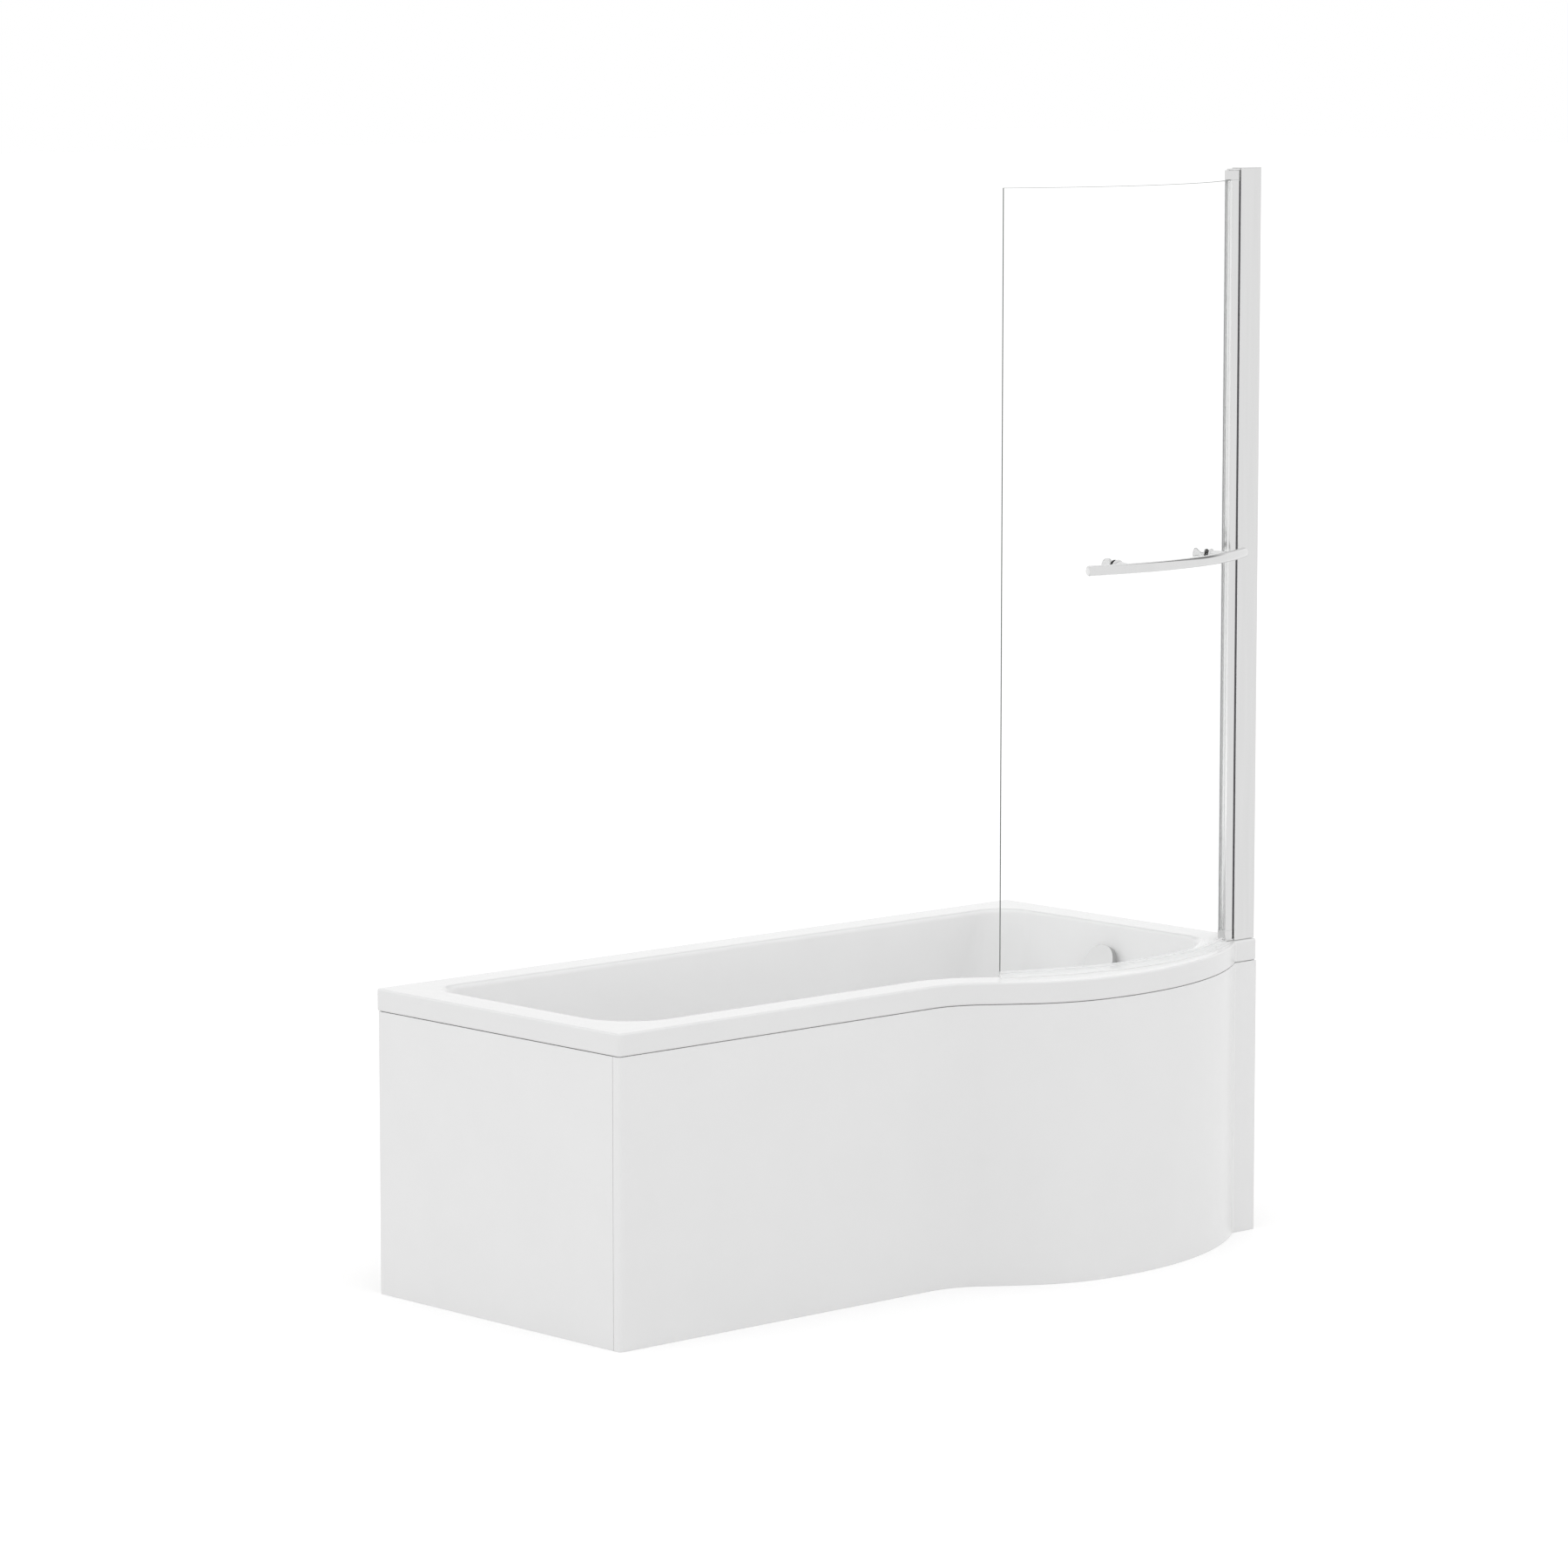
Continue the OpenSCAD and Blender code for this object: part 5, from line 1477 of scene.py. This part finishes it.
@dataclass(frozen=True)
class TowelRail:
    """Curved rail with its end caps, posts, inner knobs, rings and studs."""

    curve: GlassCurve
    height: float = 1365.0
    radius: float = 10.0
    offset: float = 42.0
    middle: float = 7.3
    half_angle: float = 22.6
    post_half_angle: float = 14.4
    bar_points: int = 48
    bar_steps: int = 140
    end_cap: Point3 = (5.0, 5.6, 3.6)
    end_cap_points: int = 64
    base: float = 28.0
    tip: float = 19.0
    post_foot: float = 3.0
    post_sunk: float = 4.0
    ring: float = 1.2
    ring_bore: float = 5.0
    ring_edge: float = 0.4
    ring_inset: float = 1.0
    neck: float = 6.0
    neck_round: float = 6.0
    knob: float = 29.0
    knob_length: float = 24.0
    knob_foot: float = 2.5

    def build(self, nodes: dict[str, bpy.types.Object]) -> None:
        """Builds the rail's pieces and dresses its studs.

        Args:
            nodes: The frame's nodes by name.
        """
        circle = [(self.offset + self.radius * math.cos(2 * math.pi * i / self.bar_points),
                   self.height + self.radius * math.sin(2 * math.pi * i / self.bar_points))
                  for i in range(self.bar_points)]
        start, end = self.middle - self.half_angle, self.middle + self.half_angle
        bar = Shape().loft(self.curve.rings(circle, start, end, self.bar_steps))
        hand_over(bar.make("towel_bar"), CHROME, Body.SCREEN, Slot.CHROME, "towel_rail")
        ends = Shape()
        side, crown, edge = self.end_cap
        cap = [(0.0, 0.0)] + rounded([(self.radius, 0.0, 0), (self.radius, side, edge),
                                      (0.0, crown, 0)], steps=10)
        for angle, way in ((start, -1), (end, 1)):
            a = math.radians(angle)
            along = (way * math.cos(a), way * math.sin(a), 0.0)
            ends.turned(cap, self.curve.spot(angle, self.offset, self.height), along,
                        self.end_cap_points)
        hand_over(ends.make("towel_bar_ends", sharp=50.0), CHROME, Body.SCREEN, Slot.CHROME,
                  "rail_caps")
        self.build_posts()
        dress(nodes, "rail_studs", ZINC_FIXINGS)

    def build_posts(self) -> None:
        """Builds the posts, the inner knobs and the rings between them and the glass."""
        face = self.curve.thickness / 2
        sag = (self.base / 2) ** 2 / (2 * (self.curve.radius - face))
        r, tip, foot = self.base / 2, self.tip / 2, self.post_foot
        reach = self.offset - face - self.ring - self.post_sunk
        post = rounded([(0.0, 0.0, 0), (r, 0.0, 0.5), (r, foot, 1.2), (r - foot, foot + 0.2, 0.8),
                        (tip, reach, 0), (0.0, reach, 0)], steps=5)
        far, wide, rim = self.knob_length, self.knob / 2, r - self.ring_inset
        knob = rounded([(0.0, 0.0, 0), (rim, 0.0, 0.5), (rim, self.knob_foot, 1.0),
                        (self.neck, 3.0, 1.5), (self.neck, far - 12, self.neck_round),
                        (wide - 2, far - 4.5, self.neck_round), (wide, far - 2.2, 0.6),
                        (wide, far, 0.9), (0.0, far, 0)], steps=8)
        bore, edge = self.ring_bore, self.ring_edge
        hoop = rounded([(bore, 0.0, 0), (rim, 0.0, edge), (rim, self.ring, edge),
                        (bore, self.ring, 0)], closed=True, steps=3)
        posts, knobs, hoops = Shape(), Shape(), Shape()
        for turn in (-self.post_half_angle, self.post_half_angle):
            angle = self.middle + turn
            out = self.curve.outward(angle)
            inward = (-out[0], -out[1], 0.0)
            posts.turned(post, self.curve.spot(angle, face + self.ring, self.height), out)
            knobs.turned(knob, self.curve.spot(angle, -face - self.ring - sag, self.height),
                         inward)
            hoops.turned(hoop, self.curve.spot(angle, face, self.height), out, joined=True)
            hoops.turned(hoop, self.curve.spot(angle, -face - sag, self.height), inward,
                         joined=True)
        hand_over(posts.make("bar_posts"), CHROME, Body.SCREEN, Slot.CHROME, "rail_posts")
        hand_over(knobs.make("bar_knobs"), CHROME, Body.SCREEN, Slot.CHROME, "rail_knobs")
        hand_over(hoops.make("bar_rings"), BLACK_RUBBER, Body.SCREEN, Slot.SEAL, "rail_gaskets")


# ---- Studio --------------------------------------------------------------------------------


@dataclass(frozen=True)
class Softbox:
    """Soft rectangular lamp that lights the object but isn't seen in its reflections."""

    name: str
    spot: Point3
    target: Point3
    size: Point2
    power: float

    def hang(self, scene: bpy.types.Scene) -> None:
        """Hangs the lamp.

        Args:
            scene: The scene.
        """
        light = bpy.data.lights.new(self.name, "AREA")
        light.shape = "RECTANGLE"
        light.size, light.size_y = self.size
        light.energy = self.power
        holder = bpy.data.objects.new(self.name, light)
        holder.location = self.spot
        aim = Vector(self.target) - Vector(self.spot)
        holder.rotation_euler = aim.to_track_quat("-Z", "Y").to_euler()
        holder.visible_camera = False
        holder.visible_glossy = False
        scene.collection.objects.link(holder)


@dataclass(frozen=True)
class Studio:
    """Pale floor, soft light and the camera at the photograph's angle."""

    camera: Point3 = (-8.14931, -8.65981, 2.50506)
    pitch: float = 82.5207
    yaw: float = -42.6267
    lens: float = 143.18
    sensor: float = 36.0
    sight: float = 200.0
    ambient: float = 1.0
    floor_seen: float = 0.37
    floor_half: float = 60.0
    floor_grain: float = 0.6
    floor_colours: tuple[Colour, Colour] = ((0.72, 0.72, 0.72), (0.73, 0.73, 0.73))
    mirror: float = 0.967
    flag: float = 0.2
    flag_height: Point2 = (0.4, 0.5)
    flag_width: Point2 = (0.45, 0.6)
    softboxes: tuple[Softbox, ...] = (
        Softbox("top_softbox", (0.2, 0.3, 4.6), (0.0, 0.0, 0.0), (5.0, 4.0), 1.0),
        Softbox("low_softbox", (-2.8, 0.2, 0.3), (-0.8, 0.0, 0.3), (1.8, 0.5), 1.2))

    def build(self) -> None:
        """Sets up the view, the world, the floor, the lamps and the camera."""
        scene = bpy.context.scene
        scene.view_settings.view_transform = "Standard"
        self.build_world(scene)
        self.build_floor(scene)
        for softbox in self.softboxes:
            softbox.hang(scene)
        eye = bpy.data.cameras.new("camera")
        eye.lens = self.lens
        eye.sensor_width = self.sensor
        eye.clip_end = self.sight
        holder = bpy.data.objects.new("camera", eye)
        holder.location = self.camera
        holder.rotation_euler = (math.radians(self.pitch), 0.0, math.radians(self.yaw))
        scene.collection.objects.link(holder)
        scene.camera = holder

    def build_world(self, scene: bpy.types.Scene) -> None:
        """Lights the object softly from all round, before a white background.

        A dark flag high behind the object shows only in reflections, where it draws the thin
        dark outlines of the polished metal.

        Args:
            scene: The scene.
        """
        world = bpy.data.worlds.new("studio")
        scene.world = world
        world.use_nodes = True
        wires = Wiring(world.node_tree)
        output = wires.add("ShaderNodeOutputWorld")
        sky = wires.add("ShaderNodeBackground")
        sky.inputs["Color"].default_value = (1.0, 1.0, 1.0, 1.0)
        way = wires.add("ShaderNodeTexCoord").outputs["Generated"]
        parts = wires.add("ShaderNodeSeparateXYZ")
        wires.link(way, parts.inputs[0])
        ahead = wires.tree.nodes.new("ShaderNodeVectorMath")
        ahead.operation = "DOT_PRODUCT"
        turn = math.radians(-self.yaw)
        ahead.inputs[1].default_value = (math.sin(turn), math.cos(turn), 0.0)
        wires.link(way, ahead.inputs[0])
        high = wires.span(parts.outputs["Z"], 0.0, 1.0, *self.flag_height)
        behind = wires.span(ahead.outputs["Value"], 0.0, 1.0, *self.flag_width)
        flag = wires.work("MULTIPLY", high, behind)
        mirror = wires.span(flag, self.mirror, self.flag, 0.0, 1.0)
        level = wires.blend(wires.mirrored(), wires.number(self.ambient), mirror)
        level = wires.blend(wires.seen_directly(), level, wires.number(1.0))
        wires.link(level, sky.inputs["Strength"])
        wires.link(sky.outputs[0], output.inputs["Surface"])

    def build_floor(self, scene: bpy.types.Scene) -> None:
        """Lays a pale floor that fades into the white background.

        Args:
            scene: The scene.
        """
        size = self.floor_half
        mesh = bpy.data.meshes.new("studio_floor")
        mesh.from_pydata([(-size, -size, 0), (size, -size, 0), (size, size, 0),
                          (-size, size, 0)], [], [(0, 1, 2, 3)])
        floor = bpy.data.objects.new("studio_floor", mesh)
        scene.collection.objects.link(floor)
        graph = Graph("studio_floor")
        graph.feed("Base Color", graph.mix(graph.noise(self.floor_grain), *self.floor_colours))
        graph.set("Roughness", 0.9)
        graph.set("Specular IOR Level", 0.0)
        glow = graph.add("ShaderNodeEmission")
        graph.link(graph.span(graph.seen_directly(), 0.0, self.floor_seen, 0.0, 1.0),
                   glow.inputs["Strength"])
        lit = graph.add("ShaderNodeAddShader")
        graph.link(graph.surface.outputs[0], lit.inputs[0])
        graph.link(glow.outputs[0], lit.inputs[1])
        plain = graph.add("ShaderNodeEmission", Strength=self.mirror)
        graph.either(graph.mirrored(), lit.outputs[0], plain.outputs[0])
        mesh.materials.append(graph.material)


def main() -> None:
    """Builds the studio and each sub-assembly in order."""
    logging.basicConfig(level=logging.INFO, format="%(name)s: %(message)s")
    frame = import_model()
    nodes = frame["nodes"]
    Studio().build()
    plan = PlanOutline()
    TubShell(plan).build()
    PanelSet(plan).build()
    Underframe().dress(nodes)
    WasteSet().build(nodes)
    curve = GlassCurve()
    ScreenFrame(curve).build(nodes)
    GlassPane(curve).build()
    TowelRail(curve).build(nodes)
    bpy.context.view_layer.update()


if __name__ == "__main__":
    main()
